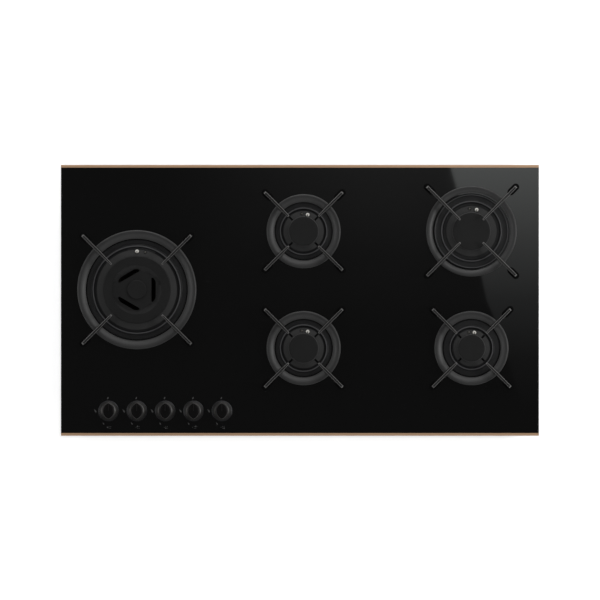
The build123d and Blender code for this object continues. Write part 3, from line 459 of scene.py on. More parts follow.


# Painted highlight: the bead crests are mixed to a lighter grey.
crest_highlight_zone = height_mask(satin_enamel, place, crest_low, crest_high)
enamel_colour = add(
    satin_enamel, "ShaderNodeMix",
    {"Factor": crest_highlight_zone.outputs["Result"], 6: enamel_tones.outputs["Color"], 7: linear("#3b3b3c")},
    data_type="RGBA",
)
gloss = add(
    satin_enamel, "ShaderNodeMapRange", {"Value": burnt.outputs["Fac"], "To Min": 0.36, "To Max": 0.46}
)
enamel = add(
    satin_enamel, "ShaderNodeBsdfPrincipled",
    {"Base Color": enamel_colour.outputs[2], "Roughness": gloss.outputs["Result"], "IOR": 1.54,
     "Specular IOR Level": 0.25, "Normal": waviness.outputs["Normal"]},
)
add(satin_enamel, "ShaderNodeOutputMaterial", {"Surface": enamel.outputs["BSDF"]})

dish_top, dish_sheet, cup_play, pressed_edge = 2.4, 1.2, 0.4, 0.7
bead_crown, bead_foot, rim_fall = 0.9, 2.9, 0.7
# The rapid burner's ring has a second bead near its rim, and the large one's a groove beyond its bead.
extras = {"rapid": [(66.5, dish_top), (68.0, bead_top), (69.2, bead_top)],
          "ultra": [(85.9, dish_top), (86.2, 1.6), (87.0, 1.6), (87.3, dish_top)]}
pressing = bmesh.new()
for name, (x, y, cap, collar, bead, dish) in burners.items():
    inner = collar + cup_play
    outline = [(inner, 0), (inner, dish_sheet), (bead - bead_foot, dish_sheet), (bead - bead_crown, bead_top),
               (bead + bead_crown, bead_top), (bead + bead_foot, dish_top)]
    outline += extras.get(name, []) + [(dish - rim_fall, dish_top), (dish, dish_top - rim_fall), (dish, 0)]
    turn(pressing, soften(outline, pressed_edge), x, y, glass_top_z)

# The large burner's ring has a raised pad round its igniter and probe.
pad_in, pad_out, pad_height, pad_corner, pad_foot = 67.9, 80.0, 2.8, 0.6, dish_sheet - 0.4
pad_from, pad_to, pad_steps = radians(64), radians(103), 24
pad_section = [(pad_in, pad_foot), (pad_in, pad_height - pad_corner), (pad_in + pad_corner, pad_height),
               (pad_out - pad_corner, pad_height), (pad_out, pad_height - pad_corner), (pad_out, pad_foot)]
hub_x, hub_y = burners["ultra"][:2]
slices = []
for step in range(pad_steps + 1):
    turned = pad_from + (pad_to - pad_from) * step / pad_steps
    slices.append([
        pressing.verts.new((
            (hub_x + radius * cos(turned)) * mm, (hub_y + radius * sin(turned)) * mm,
            glass_top_z + height * mm,
        ))
        for radius, height in pad_section
    ])
for left, right in zip(slices, slices[1:]):
    for k in range(len(pad_section)):
        j = (k + 1) % len(pad_section)
        pressing.faces.new([left[k], left[j], right[j], right[k]])
pressing.faces.new(slices[0])
pressing.faces.new(slices[-1][::-1])
spills = make("spill_ring_pressings", pressing, satin_enamel, "hob", crease=60)
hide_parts("spill_rings")

# ======================================================================== burner crowns
# Die-cast aluminium with a dark heat-proof coat. Each stands in its cup on a short spigot, and gas
# leaves through the open ports in its wall. It lifts off for washing.

# Sprayed on a sandy casting: dark and dull, in soft patches 12 mm wide. The sand is drawn 0.8 mm wide.
dark_coat, place = finish_of("dark_coated_die_casting")
tint = add(
    dark_coat, "ShaderNodeTexNoise",
    {"Vector": place.outputs["Object"], "Scale": 1 / 0.012, "Detail": 4.0},
)
coat_tones = add(
    dark_coat, "ShaderNodeValToRGB", {"Fac": tint.outputs["Fac"]}, tones=("#272727", "#2d2d2d")
)
# Painted shade: the coat goes near black low on the wall and in the notches, where shade falls.
shade_full, shade_gone = 5.0, 6.2
low_shade_zone = height_mask(dark_coat, place, shade_gone, shade_full)
shaded_coat = add(
    dark_coat, "ShaderNodeMix",
    {"Factor": low_shade_zone.outputs["Result"], 6: coat_tones.outputs["Color"], 7: linear("#080808")},
    data_type="RGBA",
)
sand = add(dark_coat, "ShaderNodeTexNoise", {"Vector": place.outputs["Object"], "Scale": 1 / 0.0008})
sand_bump = add(
    dark_coat, "ShaderNodeBump", {"Height": sand.outputs["Fac"], "Strength": 0.2, "Distance": 0.0002}
)
coat_dullness = add(
    dark_coat, "ShaderNodeMapRange", {"Value": tint.outputs["Fac"], "To Min": 0.66, "To Max": 0.8}
)
crown_coat = add(
    dark_coat, "ShaderNodeBsdfPrincipled",
    {"Base Color": shaded_coat.outputs[2], "Roughness": coat_dullness.outputs["Result"],
     "Specular IOR Level": 0.15, "Normal": sand_bump.outputs["Normal"]},
)
add(dark_coat, "ShaderNodeOutputMaterial", {"Surface": crown_coat.outputs["BSDF"]})
for name in burners:
    dress(f"crown_{name}", dark_coat)

# ======================================================================== caps
# Pressed steel discs in matt black enamel that lie loose on the crowns and keep the gas in. The large
# burner's cap is one ring with three air slots in its middle, and a small cap stands over its centre.

# Matt enamel: a fine speckle from the kiln, drawn 0.9 mm wide, and faint heat marks 25 mm wide.
matt_enamel, place = finish_of("matt_black_enamel")
speckle = add(matt_enamel, "ShaderNodeTexNoise", {"Vector": place.outputs["Object"], "Scale": 1 / 0.0009})
cap_bump = add(
    matt_enamel, "ShaderNodeBump",
    {"Height": speckle.outputs["Fac"], "Strength": 0.12, "Distance": 0.0002},
)
heat = add(
    matt_enamel, "ShaderNodeTexNoise",
    {"Vector": place.outputs["Object"], "Scale": 1 / 0.025, "Detail": 3.0},
)
cap_tones = add(
    matt_enamel, "ShaderNodeValToRGB", {"Fac": heat.outputs["Fac"]}, tones=("#121212", "#161616")
)
# Painted highlight: a lighter line is coloured round the rim of each cap.
cap_top, rim_line_foot, rim_line_full, rim_line_gone = 20.0, 18.4, 19.1, 19.4
rim_highlight_zone = height_mask(matt_enamel, place, rim_line_gone, rim_line_full)
rim_height = add(matt_enamel, "ShaderNodeSeparateXYZ", {"Vector": place.outputs["Object"]})
above_bridge = add(
    matt_enamel, "ShaderNodeMath", {0: rim_height.outputs["Z"], 1: glass_top_z + rim_line_foot * mm},
    operation="GREATER_THAN",
)
rim_highlight_here = add(
    matt_enamel, "ShaderNodeMath", {0: rim_highlight_zone.outputs["Result"], 1: above_bridge.outputs["Value"]},
    operation="MULTIPLY",
)
cap_colour = add(
    matt_enamel, "ShaderNodeMix",
    {"Factor": rim_highlight_here.outputs["Value"], 6: cap_tones.outputs["Color"], 7: linear("#3c3c3c")},
    data_type="RGBA",
)
cap_shine = add(
    matt_enamel, "ShaderNodeMapRange", {"Value": heat.outputs["Fac"], "To Min": 0.5, "To Max": 0.6}
)
cap_coat = add(
    matt_enamel, "ShaderNodeBsdfPrincipled",
    {"Base Color": cap_colour.outputs[2], "Roughness": cap_shine.outputs["Result"], "IOR": 1.54,
     "Specular IOR Level": 0.2, "Normal": cap_bump.outputs["Normal"]},
)
add(matt_enamel, "ShaderNodeOutputMaterial", {"Surface": cap_coat.outputs["BSDF"]})

# A plain cap is a shallow dome with a sloping brim, and its boss underneath fits in the crown's tower.
# The large burner's two caps keep the shape that the CAD gives them.
tower_top, tower_inset, tower_wall = 15.0, 1.8, 4.6
cap_play, cap_rib, cap_edge = 0.2, 2.4, 0.6
middle_fall, dome_share, dome_fall, brim_width, brim_fall = 0.25, 0.72, 0.1, 1.4, 1.5
for name in burner_names[1:]:
    x, y, cap = burners[name][:3]
    boss = cap - tower_inset - tower_wall - cap_play
    lid = bmesh.new()
    outline = [(0, cap_top - middle_fall), (cap * dome_share, cap_top - dome_fall),
               (cap - brim_width, cap_top), (cap, cap_top - brim_fall), (cap, tower_top), (boss, tower_top),
               (boss, tower_top - cap_rib), (0, tower_top - cap_rib)]
    turn(lid, soften(outline, cap_edge), x, y, glass_top_z)
    piece = make(f"burner_cap_{name}", lid, matt_enamel, f"cap_{name}_body", crease=60)
    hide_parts(f"cap_{name}")
dress("cap_ultra", matt_enamel)
dress("centre_cap_ultra", matt_enamel)

# ======================================================================== igniters and flame probes
# Each igniter is a tube of white alumina with a steel pin in it, and sparks to the crown. Beside it
# stands the tip of a thermocouple in a stainless sheath, which shuts the gas off when it cools.

# Fired alumina is white with a slight gloss, here stained a little by soot.
alumina = mottled(
    "white_alumina", 0.0025, ("#b9b7b1", "#d2d0ca"), {"Roughness": 0.35, "IOR": 1.76}, detail=3.0
)
# Each igniter's place from its burner's middle.
igniter_offsets = {"ultra": (0.4, 72.2), "rear_centre": (7.7, 31.2), "front_centre": (7.7, 31.2),
                   "rapid": (9.8, 40.6), "auxiliary": (5.6, 29.4)}
tube_radius, nose_radius, bore_radius, tube_foot, tube_head = 3.5, 2.9, 0.9, -30.0, 13.0
neck_foot, neck_top, bore_depth, tube_edge, tube_sides = 2.6, 1.9, 1.0, 0.45, 48
tubes = bmesh.new()
for name, (off_x, off_y) in igniter_offsets.items():
    outline = [(0, tube_foot), (tube_radius, tube_foot), (tube_radius, tube_head - neck_foot),
               (nose_radius, tube_head - neck_top), (nose_radius, tube_head), (bore_radius, tube_head),
               (bore_radius, tube_head - bore_depth), (0, tube_head - bore_depth)]
    x, y = burners[name][0] + off_x, burners[name][1] + off_y
    turn(tubes, soften(outline, tube_edge), x, y, glass_top_z, tube_sides)
piece = make("igniter_tubes", tubes, alumina, "hob", crease=60)
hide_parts("igniters")

# The flame has tempered the steel sheaths from grey to straw, in patches.
stainless = mottled("stainless_sheath", 0.004, ("#9a958e", "#c4c1bc"), {"Roughness": 0.3, "Metallic": 1.0})
dress("flame_probes", stainless)

# The pin in each igniter is bent over towards the crown, so the spark jumps where the gas comes out.
pin_radius, pin_root, pin_rise, pin_bend, pin_reach = 0.75, 1.5, 1.3, 1.2, 3.3
pin_sides, pin_steps = 10, 6
up = Vector((0, 0, 1))
pins = bmesh.new()
for name, (off_x, off_y) in igniter_offsets.items():
    away = hypot(off_x, off_y)
    inward = Vector((-off_x / away, -off_y / away, 0))
    start = Vector((burners[name][0] + off_x, burners[name][1] + off_y, tube_head - pin_root))
    route = [(start, up), (start + up * pin_rise, up)]
    for step in range(1, pin_steps + 1):
        swing = pi / 2 * step / pin_steps
        centre = start + up * pin_rise + inward * pin_bend
        spot = centre - inward * pin_bend * cos(swing) + up * (pin_bend * sin(swing))
        route.append((spot, up * cos(swing) + inward * sin(swing)))
    route.append((route[-1][0] + inward * (pin_reach - pin_bend), inward))
    across = inward.cross(up)
    hoops = []
    for spot, heading in route:
        over = across.cross(heading)
        hoops.append([
            pins.verts.new(
                (spot + across * pin_radius * cos(2 * pi * k / pin_sides)
                 + over * pin_radius * sin(2 * pi * k / pin_sides)) * mm + up * glass_top_z
            )
            for k in range(pin_sides)
        ])
    for low, high in zip(hoops, hoops[1:]):
        for k in range(pin_sides):
            j = (k + 1) % pin_sides
            pins.faces.new([low[k], low[j], high[j], high[k]])
    pins.faces.new(hoops[0])
    pins.faces.new(hoops[-1][::-1])

# The sparks have burnt the pins dark and dull.
sparked_steel = mottled(
    "spark_eroded_steel", 0.0008, ("#1f1e1d", "#3d3a37"), {"Roughness": 0.55, "Metallic": 1.0}
)
make("igniter_pins", pins, sparked_steel, "hob")

# ======================================================================== pan supports and feet
# A ring and four fingers cast in one piece of iron, shot-blasted and enamelled matt black. It stands
# loose on the glass on four rubber feet pushed over its legs.

pan_plane = 36.0

# Thin matt enamel over shot-blasted iron: a grain, drawn 1.2 mm wide, and soft patches 30 mm wide.
cast_iron, place = finish_of("enamelled_cast_iron")
grain = add(
    cast_iron, "ShaderNodeTexNoise",
    {"Vector": place.outputs["Object"], "Scale": 1 / 0.0012, "Detail": 3.0, "Roughness": 0.6},
)
grain_bump = add(
    cast_iron, "ShaderNodeBump", {"Height": grain.outputs["Fac"], "Strength": 0.3, "Distance": 0.0003}
)
iron_patches = add(cast_iron, "ShaderNodeTexNoise", {"Vector": place.outputs["Object"], "Scale": 1 / 0.03})
iron_tones = add(
    cast_iron, "ShaderNodeValToRGB", {"Fac": iron_patches.outputs["Fac"]}, tones=("#2f2f2f", "#363636")
)
# Painted shade: the ring's brow and the fingers are coloured darker than its dished face.
ring_face, ring_brow = 10.2, 10.95
shaded_brow_zone = height_mask(cast_iron, place, ring_face, ring_brow)
face_or_shaded_brow = add(
    cast_iron, "ShaderNodeMix",
    {"Factor": shaded_brow_zone.outputs["Result"], 6: iron_tones.outputs["Color"], 7: linear("#262626")},
    data_type="RGBA",
)
# The sloping top edges of the fingers are coloured lighter, a painted highlight along each edge. Level,
# sloping and upright are how much a face points up.
edge_line_foot, edge_line_full, top_skin = pan_plane - 2.9, pan_plane - 1.1, pan_plane - 0.4
level, sloping, upright = 0.97, 0.85, 0.3
edge_zone = height_mask(cast_iron, place, edge_line_foot, edge_line_full)
lean = add(cast_iron, "ShaderNodeSeparateXYZ", {"Vector": place.outputs["Normal"]})
leaning = add(
    cast_iron, "ShaderNodeMapRange", {"Value": lean.outputs["Z"], "From Min": level, "From Max": sloping}
)
upward = add(cast_iron, "ShaderNodeMath", {0: lean.outputs["Z"], 1: upright}, operation="GREATER_THAN")
edge_highlight_here = add(
    cast_iron, "ShaderNodeMath", {0: edge_zone.outputs["Result"], 1: leaning.outputs["Result"]},
    operation="MULTIPLY",
)
edge_highlight = add(
    cast_iron, "ShaderNodeMath", {0: edge_highlight_here.outputs["Value"], 1: upward.outputs["Value"]},
    operation="MULTIPLY",
)
iron_colour = add(
    cast_iron, "ShaderNodeMix",
    {"Factor": edge_highlight.outputs["Value"], 6: face_or_shaded_brow.outputs[2], 7: linear("#5c5b5a")},
    data_type="RGBA",
)
# Painted shade: the flat tops are coloured dark between those edges.
above = add(cast_iron, "ShaderNodeSeparateXYZ", {"Vector": place.outputs["Object"]})
shaded_top = add(
    cast_iron, "ShaderNodeMath", {0: above.outputs["Z"], 1: glass_top_z + top_skin * mm},
    operation="GREATER_THAN",
)
tops_with_shade = add(
    cast_iron, "ShaderNodeMix",
    {"Factor": shaded_top.outputs["Value"], 6: iron_colour.outputs[2], 7: linear("#151515")},
    data_type="RGBA",
)
iron_shine = add(
    cast_iron, "ShaderNodeMapRange", {"Value": grain.outputs["Fac"], "To Min": 0.38, "To Max": 0.5}
)
iron = add(
    cast_iron, "ShaderNodeBsdfPrincipled",
    {"Base Color": tops_with_shade.outputs[2], "Roughness": iron_shine.outputs["Result"], "IOR": 1.5,
     "Specular IOR Level": 0.4, "Normal": grain_bump.outputs["Normal"]},
)
add(cast_iron, "ShaderNodeOutputMaterial", {"Surface": iron.outputs["BSDF"]})
for name in burners:
    dress(f"pan_support_{name}", cast_iron)

# The feet's rubber is nearly black, and takes no highlight.
rubber = mottled(
    "black_silicone_rubber", 0.004, ("#040404", "#070707"),
    {"Roughness": 0.8, "IOR": 1.41, "Specular IOR Level": 0.1},
)
for name in burners:
    dress(f"feet_{name}", rubber)

# ======================================================================== knobs and their bezels
# Die-cast zinc knobs plated in black nickel, each with a pointed grip that flares into a round skirt.
# Each stands in a shallow bezel, plated in black chrome, that is set through the glass.

first_knob, knob_pitch, knob_row = -360.4, 53.4, -208.3
knob_spots = {name: (first_knob + knob_pitch * i, knob_row) for i, name in enumerate(burner_names)}
# Black nickel on a finely blasted casting: a dark grey metal with a satin sheen. Its grain is drawn
# 0.6 mm wide so that it shows.
knob_coat, place = finish_of("black_nickel_on_zinc_casting")
satin_grain = add(knob_coat, "ShaderNodeTexNoise", {"Vector": place.outputs["Object"], "Scale": 1 / 0.0006})
nickel_tones = add(
    knob_coat, "ShaderNodeValToRGB", {"Fac": satin_grain.outputs["Fac"]}, tones=("#474645", "#504f4e")
)
# Painted shade: the grip's flat top is coloured darker than its flanks and its groove.
knob_top, shaded_from = 25.6, 24.98
knob_height = add(knob_coat, "ShaderNodeSeparateXYZ", {"Vector": place.outputs["Object"]})
shaded_flat_top = add(
    knob_coat, "ShaderNodeMath", {0: knob_height.outputs["Z"], 1: glass_top_z + shaded_from * mm},
    operation="GREATER_THAN",
)
knob_colour = add(
    knob_coat, "ShaderNodeMix",
    {"Factor": shaded_flat_top.outputs["Value"], 6: nickel_tones.outputs["Color"], 7: linear("#2e2d2d")},
    data_type="RGBA",
)
satin_rough = add(
    knob_coat, "ShaderNodeMapRange", {"Value": satin_grain.outputs["Fac"], "To Min": 0.34, "To Max": 0.44}
)
satin_bump = add(
    knob_coat, "ShaderNodeBump",
    {"Height": satin_grain.outputs["Fac"], "Strength": 0.06, "Distance": 0.0001},
)
knob_shader = add(
    knob_coat, "ShaderNodeBsdfPrincipled",
    {"Base Color": knob_colour.outputs[2], "Roughness": satin_rough.outputs["Result"],
     "Metallic": 1.0, "Normal": satin_bump.outputs["Normal"]},
)
add(knob_coat, "ShaderNodeOutputMaterial", {"Surface": knob_shader.outputs["BSDF"]})

# Black chrome that handling has dulled unevenly.
black_plate, place = finish_of("black_chrome_plate")
polish = add(black_plate, "ShaderNodeTexNoise", {"Vector": place.outputs["Object"], "Scale": 1 / 0.002})
plate_shine = add(
    black_plate, "ShaderNodeMapRange", {"Value": polish.outputs["Fac"], "To Min": 0.42, "To Max": 0.52}
)
bezel_plate = add(
    black_plate, "ShaderNodeBsdfPrincipled",
    {"Base Color": linear("#3d3d3e"), "Roughness": plate_shine.outputs["Result"], "Metallic": 1.0},
)
add(black_plate, "ShaderNodeOutputMaterial", {"Surface": bezel_plate.outputs["BSDF"]})
dress("knob_bezels", black_plate)

# Sizes in mm. The skirt's corner and the grip's are each rounded in two steps.
knob_radius, knob_bottom, knob_shoulder, skirt_lip = 17.0, 4.6, 9.2, 2.0
foot_radius, skirt_corner, skirt_round_in, skirt_round_down = 16.4, 0.6, 0.2, 0.15
grip_half_width, grip_reach, grip_corner, grip_round, top_inset = 10.0, 14.6, 0.6, 0.18, 3.5
wall_draft, flank_rise, index_width, index_depth, overcut = 0.5, 0.62, 1.2, 0.7, 1


def grip_radius(turned):
    """How far the pointed grip reaches from its middle, at an angle from the x axis."""
    bulge = (grip_reach * grip_reach - grip_half_width * grip_half_width) / (2 * grip_half_width)
    side = abs(cos(turned)) * bulge
    return -side + (side * side + grip_reach * grip_reach) ** 0.5


def hollow(turned):
    """How wide the hollow flank is in plan, between the skirt and the grip's upright side."""
    return foot_radius - grip_radius(turned) - wall_draft


knob_steps, flank_steps = 144, 14
for name, (x, y) in knob_spots.items():
    grip = bmesh.new()
    rows = []

    def ring_of(radius_at, height_at):
        """Adds one closed row of points, each at the radius and height for its angle."""
        row = []
        for k in range(knob_steps):
            turned = 2 * pi * k / knob_steps
            radius = radius_at(turned)
            row.append(grip.verts.new((
                (x + radius * cos(turned)) * mm, (y + radius * sin(turned)) * mm,
                glass_top_z + height_at(turned) * mm,
            )))
        rows.append(row)

    for radius, height in ((knob_radius - skirt_lip, knob_bottom), (knob_radius, knob_bottom),
                           (knob_radius, knob_shoulder - skirt_corner),
                           (knob_radius - skirt_round_in, knob_shoulder - skirt_round_down),
                           (foot_radius, knob_shoulder)):
        ring_of(lambda turned: radius, lambda turned: height)
    for step in range(1, flank_steps + 1):
        swing = pi / 2 * step / flank_steps
        ring_of(
            lambda turned: foot_radius - hollow(turned) * sin(swing),
            lambda turned: knob_shoulder + flank_rise * hollow(turned) * (1 - cos(swing)),
        )
    for inset, drop in ((0.0, grip_corner), (grip_round, grip_round), (grip_corner, 0.0), (top_inset, 0.0)):
        ring_of(lambda turned: grip_radius(turned) - inset, lambda turned: knob_top - drop)
    for low, high in zip(rows, rows[1:]):
        for k in range(knob_steps):
            j = (k + 1) % knob_steps
            grip.faces.new([low[k], low[j], high[j], high[k]])
    grip.faces.new(rows[-1])
    grip.faces.new(rows[0][::-1])
    piece = make(f"control_knob_{name}", grip, knob_coat, f"control_{name}_body", crease=50)
    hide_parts(f"knob_{name}")

    # The index groove is cut from the grip's point to its middle.
    cutter_mesh = bmesh.new()
    groove_plan = ((-index_width / 2, 0), (index_width / 2, 0), (index_width / 2, grip_reach + overcut),
                   (-index_width / 2, grip_reach + overcut))
    corners = [(u, v, w) for w in (knob_top - index_depth, knob_top + overcut) for u, v in groove_plan]
    spots = [cutter_mesh.verts.new(((x + u) * mm, (y + v) * mm, glass_top_z + w * mm)) for u, v, w in corners]
    for face in ((3, 2, 1, 0), (4, 5, 6, 7), (0, 1, 5, 4), (1, 2, 6, 5), (2, 3, 7, 6), (3, 0, 4, 7)):
        cutter_mesh.faces.new([spots[k] for k in face])
    cutter = place_in_scene("groove_cutter", cutter_mesh)
    groove = piece.modifiers.new("index_groove", "BOOLEAN")
    groove.operation = "DIFFERENCE"
    groove.object = cutter
    bpy.context.view_layer.update()
    cut = bpy.data.meshes.new_from_object(piece.evaluated_get(bpy.context.evaluated_depsgraph_get()))
    piece.modifiers.clear()
    piece.data = cut
    bpy.data.objects.remove(cutter)

# The spindles behind them are turned steel, with tool lines drawn 0.6 mm apart so that they show.
turned_steel, place = finish_of("turned_steel")
tool_lines = add(
    turned_steel, "ShaderNodeTexWave", {"Vector": place.outputs["Object"], "Scale": 1 / 0.0006},
    bands_direction="Z",
)
steel_bump = add(
    turned_steel, "ShaderNodeBump",
    {"Height": tool_lines.outputs["Fac"], "Strength": 0.1, "Distance": 0.0001},
)
steel_greys = add(
    turned_steel, "ShaderNodeValToRGB", {"Fac": tool_lines.outputs["Fac"]}, tones=("#8e9092", "#a9abad")
)
steel = add(
    turned_steel, "ShaderNodeBsdfPrincipled",
    {"Base Color": steel_greys.outputs["Color"], "Roughness": 0.3, "Metallic": 1.0,
     "Normal": steel_bump.outputs["Normal"]},
)
add(turned_steel, "ShaderNodeOutputMaterial", {"Surface": steel.outputs["BSDF"]})
for name in burner_names:
    dress(f"spindle_{name}", turned_steel)

# ======================================================================== printed marks
# Screen-printed in grey ceramic ink beside each knob and fired into the glass: a dot for off, a large
# and a small flame, and under the knob five dots that say which burner it feeds.

# Fired ink is grey and has a low gloss. The screen's mesh, drawn 0.5 mm wide, breaks it up a little.
ceramic_ink = mottled("grey_ceramic_ink", 0.0005, ("#303030", "#3d3d3d"), {"Roughness": 0.45, "IOR": 1.52})
film_bottom, film_top = 0.002, 0.04
flame = [(0.0, -0.5), (0.22, -0.44), (0.36, -0.26), (0.37, -0.04), (0.26, 0.16), (0.17, 0.04), (0.12, 0.26),
         (-0.02, 0.5), (-0.06, 0.28), (-0.22, 0.08), (-0.34, -0.12), (-0.34, -0.3), (-0.2, -0.45)]


def stamp(mesh, shape, x, y, size, lean=0.0):
    """Prints a closed shape, given at size 1, as a film on the glass."""
    spun = Matrix.Rotation(lean, 2)
    flat = [spun @ Vector(point) * size for point in shape]
    top, rim = (
        [mesh.verts.new(((x + p.x) * mm, (y + p.y) * mm, glass_top_z + height * mm)) for p in flat]
        for height in (film_top, film_bottom)
    )
    mesh.faces.new(top)
    mesh.faces.new(rim[::-1])
    for k in range(len(flat)):
        j = (k + 1) % len(flat)
        mesh.faces.new([rim[k], rim[j], top[j], top[k]])


dot_sides, dot_narrow, dot_slant, flame_narrow, flame_lean = 20, 0.62, 0.35, 0.5, 0.62
disc = [(0.5 * cos(2 * pi * k / dot_sides), 0.5 * sin(2 * pi * k / dot_sides)) for k in range(dot_sides)]
slanted = [(u * dot_narrow + v * dot_slant, v) for u, v in disc]
slim_flame = [(u * flame_narrow, v) for u, v in flame]
# Each mark's place from its knob's middle, then its height. The dots' place is the middle of the five.
off_dot, large_flame, small_flame = (-1.2, 24.2, 4.0), (-25.2, 0.6, 8.4), (-9.8, -23.4, 5.6)
dots_x, dots_y, own_dot, other_dot = 1.2, -30.8, 2.6, 1.2
burner_dots = {"ultra": (-2.9, 0), "rear_centre": (0, 1.7), "front_centre": (0, -1.7), "rapid": (2.9, 1.7),
               "auxiliary": (2.9, -1.7)}
printing = bmesh.new()
for name, (x, y) in knob_spots.items():
    stamp(printing, slanted, x + off_dot[0], y + off_dot[1], off_dot[2])
    for right, back, size in (large_flame, small_flame):
        stamp(printing, slim_flame, x + right, y + back, size, flame_lean)
    for other, (right, back) in burner_dots.items():
        size = own_dot if other == name else other_dot
        stamp(printing, disc, x + dots_x + right, y + dots_y + back, size)
make("printed_marks", printing, ceramic_ink, "hob")

# ======================================================================== floor, light and camera
# A plain pale floor under soft studio light, seen from straight above through a very long lens. The
# floor goes to white where nothing shades it, and keeps the cooktop's shadow.

# Smooth pale paint with no gloss. A glow that only the eye sees, directly, mirrored or through glass,
# lifts it to white.
floor_glow = 0.38
floor_paint, place = finish_of("pale_floor_paint")
trowel = add(floor_paint, "ShaderNodeTexNoise", {"Vector": place.outputs["Object"], "Scale": 1 / 0.5})
paint_tones = add(
    floor_paint, "ShaderNodeValToRGB", {"Fac": trowel.outputs["Fac"]}, tones=("#e9e9e9", "#ececec")
)
paint = add(
    floor_paint, "ShaderNodeBsdfPrincipled",
    {"Base Color": paint_tones.outputs["Color"], "Roughness": 0.9, "Specular IOR Level": 0.0},
)
seen = add(floor_paint, "ShaderNodeLightPath")
seen_or_mirrored = add(
    floor_paint, "ShaderNodeMath", {0: seen.outputs["Is Camera Ray"], 1: seen.outputs["Is Glossy Ray"]},
    operation="ADD",
)
seen_any_way = add(
    floor_paint, "ShaderNodeMath",
    {0: seen_or_mirrored.outputs["Value"], 1: seen.outputs["Is Transmission Ray"]},
    operation="MAXIMUM",
)
dimmer = add(
    floor_paint, "ShaderNodeMath", {0: seen_any_way.outputs["Value"], 1: floor_glow}, operation="MULTIPLY"
)
lift = add(floor_paint, "ShaderNodeEmission", {"Color": (1, 1, 1, 1), "Strength": dimmer.outputs["Value"]})
both = add(floor_paint, "ShaderNodeAddShader", {0: paint.outputs["BSDF"], 1: lift.outputs["Emission"]})
add(floor_paint, "ShaderNodeOutputMaterial", {"Surface": both.outputs["Shader"]})

slab = bmesh.new()
reach, floor_gap = 20.0, 0.0003
floor_corners = ((-1, -1), (1, -1), (1, 1), (-1, 1))
slab.faces.new([slab.verts.new((u * reach, v * reach, -floor_gap)) for u, v in floor_corners])
place_in_scene("studio_floor", slab, floor_paint)

# A large soft panel hangs above the right rear corner, and a wide faint one over the rear. Only gloss
# shows them.


def hang(name, corners, z, ramp, reach_y, soften_x=None):
    """Hangs a glowing panel whose light fades towards the front, and lets what is above it through."""
    glowing, place = finish_of(name + "_glow")
    spot = add(glowing, "ShaderNodeSeparateXYZ", {"Vector": place.outputs["Object"]})
    fade = add(
        glowing, "ShaderNodeMapRange",
        {"Value": spot.outputs["Y"], "From Min": reach_y[0], "From Max": reach_y[1]},
    )
    levels = add(glowing, "ShaderNodeValToRGB", {"Fac": fade.outputs["Result"]})
    levels.color_ramp.elements[0].color = ramp[0][1]
    levels.color_ramp.elements[1].color = ramp[-1][1]
    for at, level in ramp[1:-1]:
        levels.color_ramp.elements.new(at).color = level
    glow = add(glowing, "ShaderNodeEmission", {"Color": levels.outputs["Color"], "Strength": 1.0})
    if soften_x:
        side = add(
            glowing, "ShaderNodeMapRange",
            {"Value": spot.outputs["X"], "From Min": soften_x[0], "From Max": soften_x[1]},
            interpolation_type="SMOOTHSTEP",
        )
        glowing.node_tree.links.new(side.outputs["Result"], glow.inputs["Strength"])
    clear = add(glowing, "ShaderNodeBsdfTransparent")
    both = add(glowing, "ShaderNodeAddShader", {0: glow.outputs["Emission"], 1: clear.outputs["BSDF"]})
    add(glowing, "ShaderNodeOutputMaterial", {"Surface": both.outputs["Shader"]})
    card = bmesh.new()
    card.faces.new([card.verts.new((u, v, z)) for u, v in corners])
    panel = place_in_scene(name, card, glowing)
    panel.visible_camera = panel.visible_diffuse = panel.visible_shadow = False


# The panel's left edge is bent, and so is the edge of the shine that the glass shows.
panel_z, sheen_z = 1.3, 1.4
panel_edge = [(0.2949, 0.26), (0.3066, 0.2189), (0.3556, 0.0466), (0.3655, 0.0), (0.3785, -0.03),
              (0.4367, -0.208), (0.478, -0.312)]
hang(
    "hanging_panel", [(0.281, 0.312)] + panel_edge + [(0.8, -0.312), (0.8, 0.312)], panel_z,
    [(0.0, (0, 0, 0, 1)), (0.2, (0.05, 0.05, 0.05, 1)), (0.45, (0.22, 0.23, 0.23, 1)),
     (0.7, (0.6, 0.62, 0.61, 1)), (1.0, (1.25, 1.31, 1.28, 1))],
    (-0.208, 0.26),
)
hang(
    "rear_sheen", [(-0.6, -0.3), (0.6, -0.3), (0.6, 0.3), (-0.6, 0.3)], sheen_z,
    [(0.0, (0, 0, 0, 1)), (0.45, (0.04, 0.04, 0.04, 1)), (1.0, (0.15, 0.15, 0.15, 1))],
    (-0.06, 0.26), (-0.34, 0.2),
)


def lamp(name, kind, at, towards=(0, 0, 0), **settings):
    """Hangs a lamp that points at a spot."""
    data = bpy.data.lights.new(name, kind)
    for key, value in settings.items():
        setattr(data, key, value)
    made = bpy.data.objects.new(name, data)
    scene.collection.objects.link(made)
    made.location = at
    made.rotation_euler = (Vector(towards) - Vector(at)).to_track_quat("-Z", "Y").to_euler()
    return made


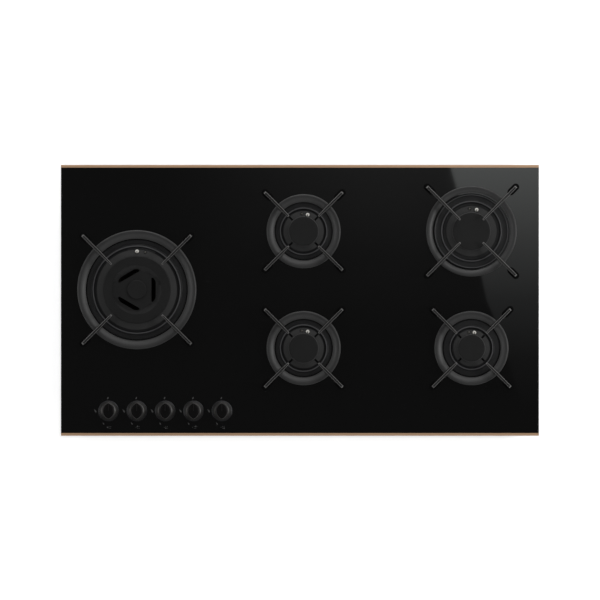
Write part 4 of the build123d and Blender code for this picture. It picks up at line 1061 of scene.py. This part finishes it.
# A soft sky overhead gives the tones, and a lamp on each side gives the edges on that side their shine.
overhead = lamp("overhead_sky", "SUN", (0, 0, 3), energy=1.5, angle=radians(14))
overhead.visible_glossy = False
lamp("rear_right_softbox", "AREA", (1.2, 1.35, 1.9), energy=9, shape="RECTANGLE", size=1.4, size_y=0.8)
lamp("rear_strip", "AREA", (-0.1, 2.2, 1.0), energy=13, shape="RECTANGLE", size=1.8, size_y=0.6)
lamp("right_strip", "AREA", (1.9, 0.0, 1.45), energy=13, shape="RECTANGLE", size=0.5, size_y=0.4)
lamp("front_strip", "AREA", (0.0, -2.1, 1.3), energy=2, shape="RECTANGLE", size=1.8, size_y=0.4)
lamp("left_panel", "AREA", (-1.7, -0.15, 1.6), energy=5, shape="RECTANGLE", size=0.8, size_y=0.5)

# The room is pale near the horizon and dark overhead, and brighter on its window's side.
window_side = (0.36, 0.93, 0.0)
studio = bpy.data.worlds.new("studio")
scene.world = studio
studio.use_nodes = True
studio.node_tree.nodes.clear()
looking = add(studio, "ShaderNodeTexCoord")
height = add(studio, "ShaderNodeSeparateXYZ", {"Vector": looking.outputs["Generated"]})
walls = add(studio, "ShaderNodeValToRGB", {"Fac": height.outputs["Z"]})
walls.color_ramp.elements[0].color = (0.55, 0.55, 0.55, 1)
walls.color_ramp.elements[1].color = (0.06, 0.06, 0.06, 1)
for at, level in ((0.3, 0.45), (0.55, 0.2), (0.8, 0.07)):
    walls.color_ramp.elements.new(at).color = (level, level, level, 1)
towards_window = add(
    studio, "ShaderNodeVectorMath", {0: looking.outputs["Generated"], 1: window_side},
    operation="DOT_PRODUCT",
)
window = add(
    studio, "ShaderNodeMapRange",
    {"Value": towards_window.outputs["Value"], "From Min": -1.0, "From Max": 1.0, "To Min": 0.5,
     "To Max": 1.75},
)
room = add(
    studio, "ShaderNodeBackground",
    {"Color": walls.outputs["Color"], "Strength": window.outputs["Result"]},
)
white = add(studio, "ShaderNodeBackground", {"Color": (1, 1, 1, 1), "Strength": 1.0})
ray = add(studio, "ShaderNodeLightPath")
choose = add(
    studio, "ShaderNodeMixShader",
    {0: ray.outputs["Is Camera Ray"], 1: room.outputs["Background"], 2: white.outputs["Background"]},
)
add(studio, "ShaderNodeOutputWorld", {"Surface": choose.outputs["Shader"]})
scene.view_settings.view_transform = "Standard"

# The camera looks straight down from 31 m, so far off that no piece shows its side.
photo_width, aim_x, aim_y = 1.1298, 0.0002, 0.0006
eye = bpy.data.cameras.new("camera")
eye.lens = 1000
eye.sensor_width = 36
eye.clip_start, eye.clip_end = 1.0, 60.0
camera = bpy.data.objects.new("camera", eye)
scene.collection.objects.link(camera)
camera.location = (aim_x, aim_y, glass_top_z + photo_width / 2 * eye.lens / (eye.sensor_width / 2))
scene.camera = camera
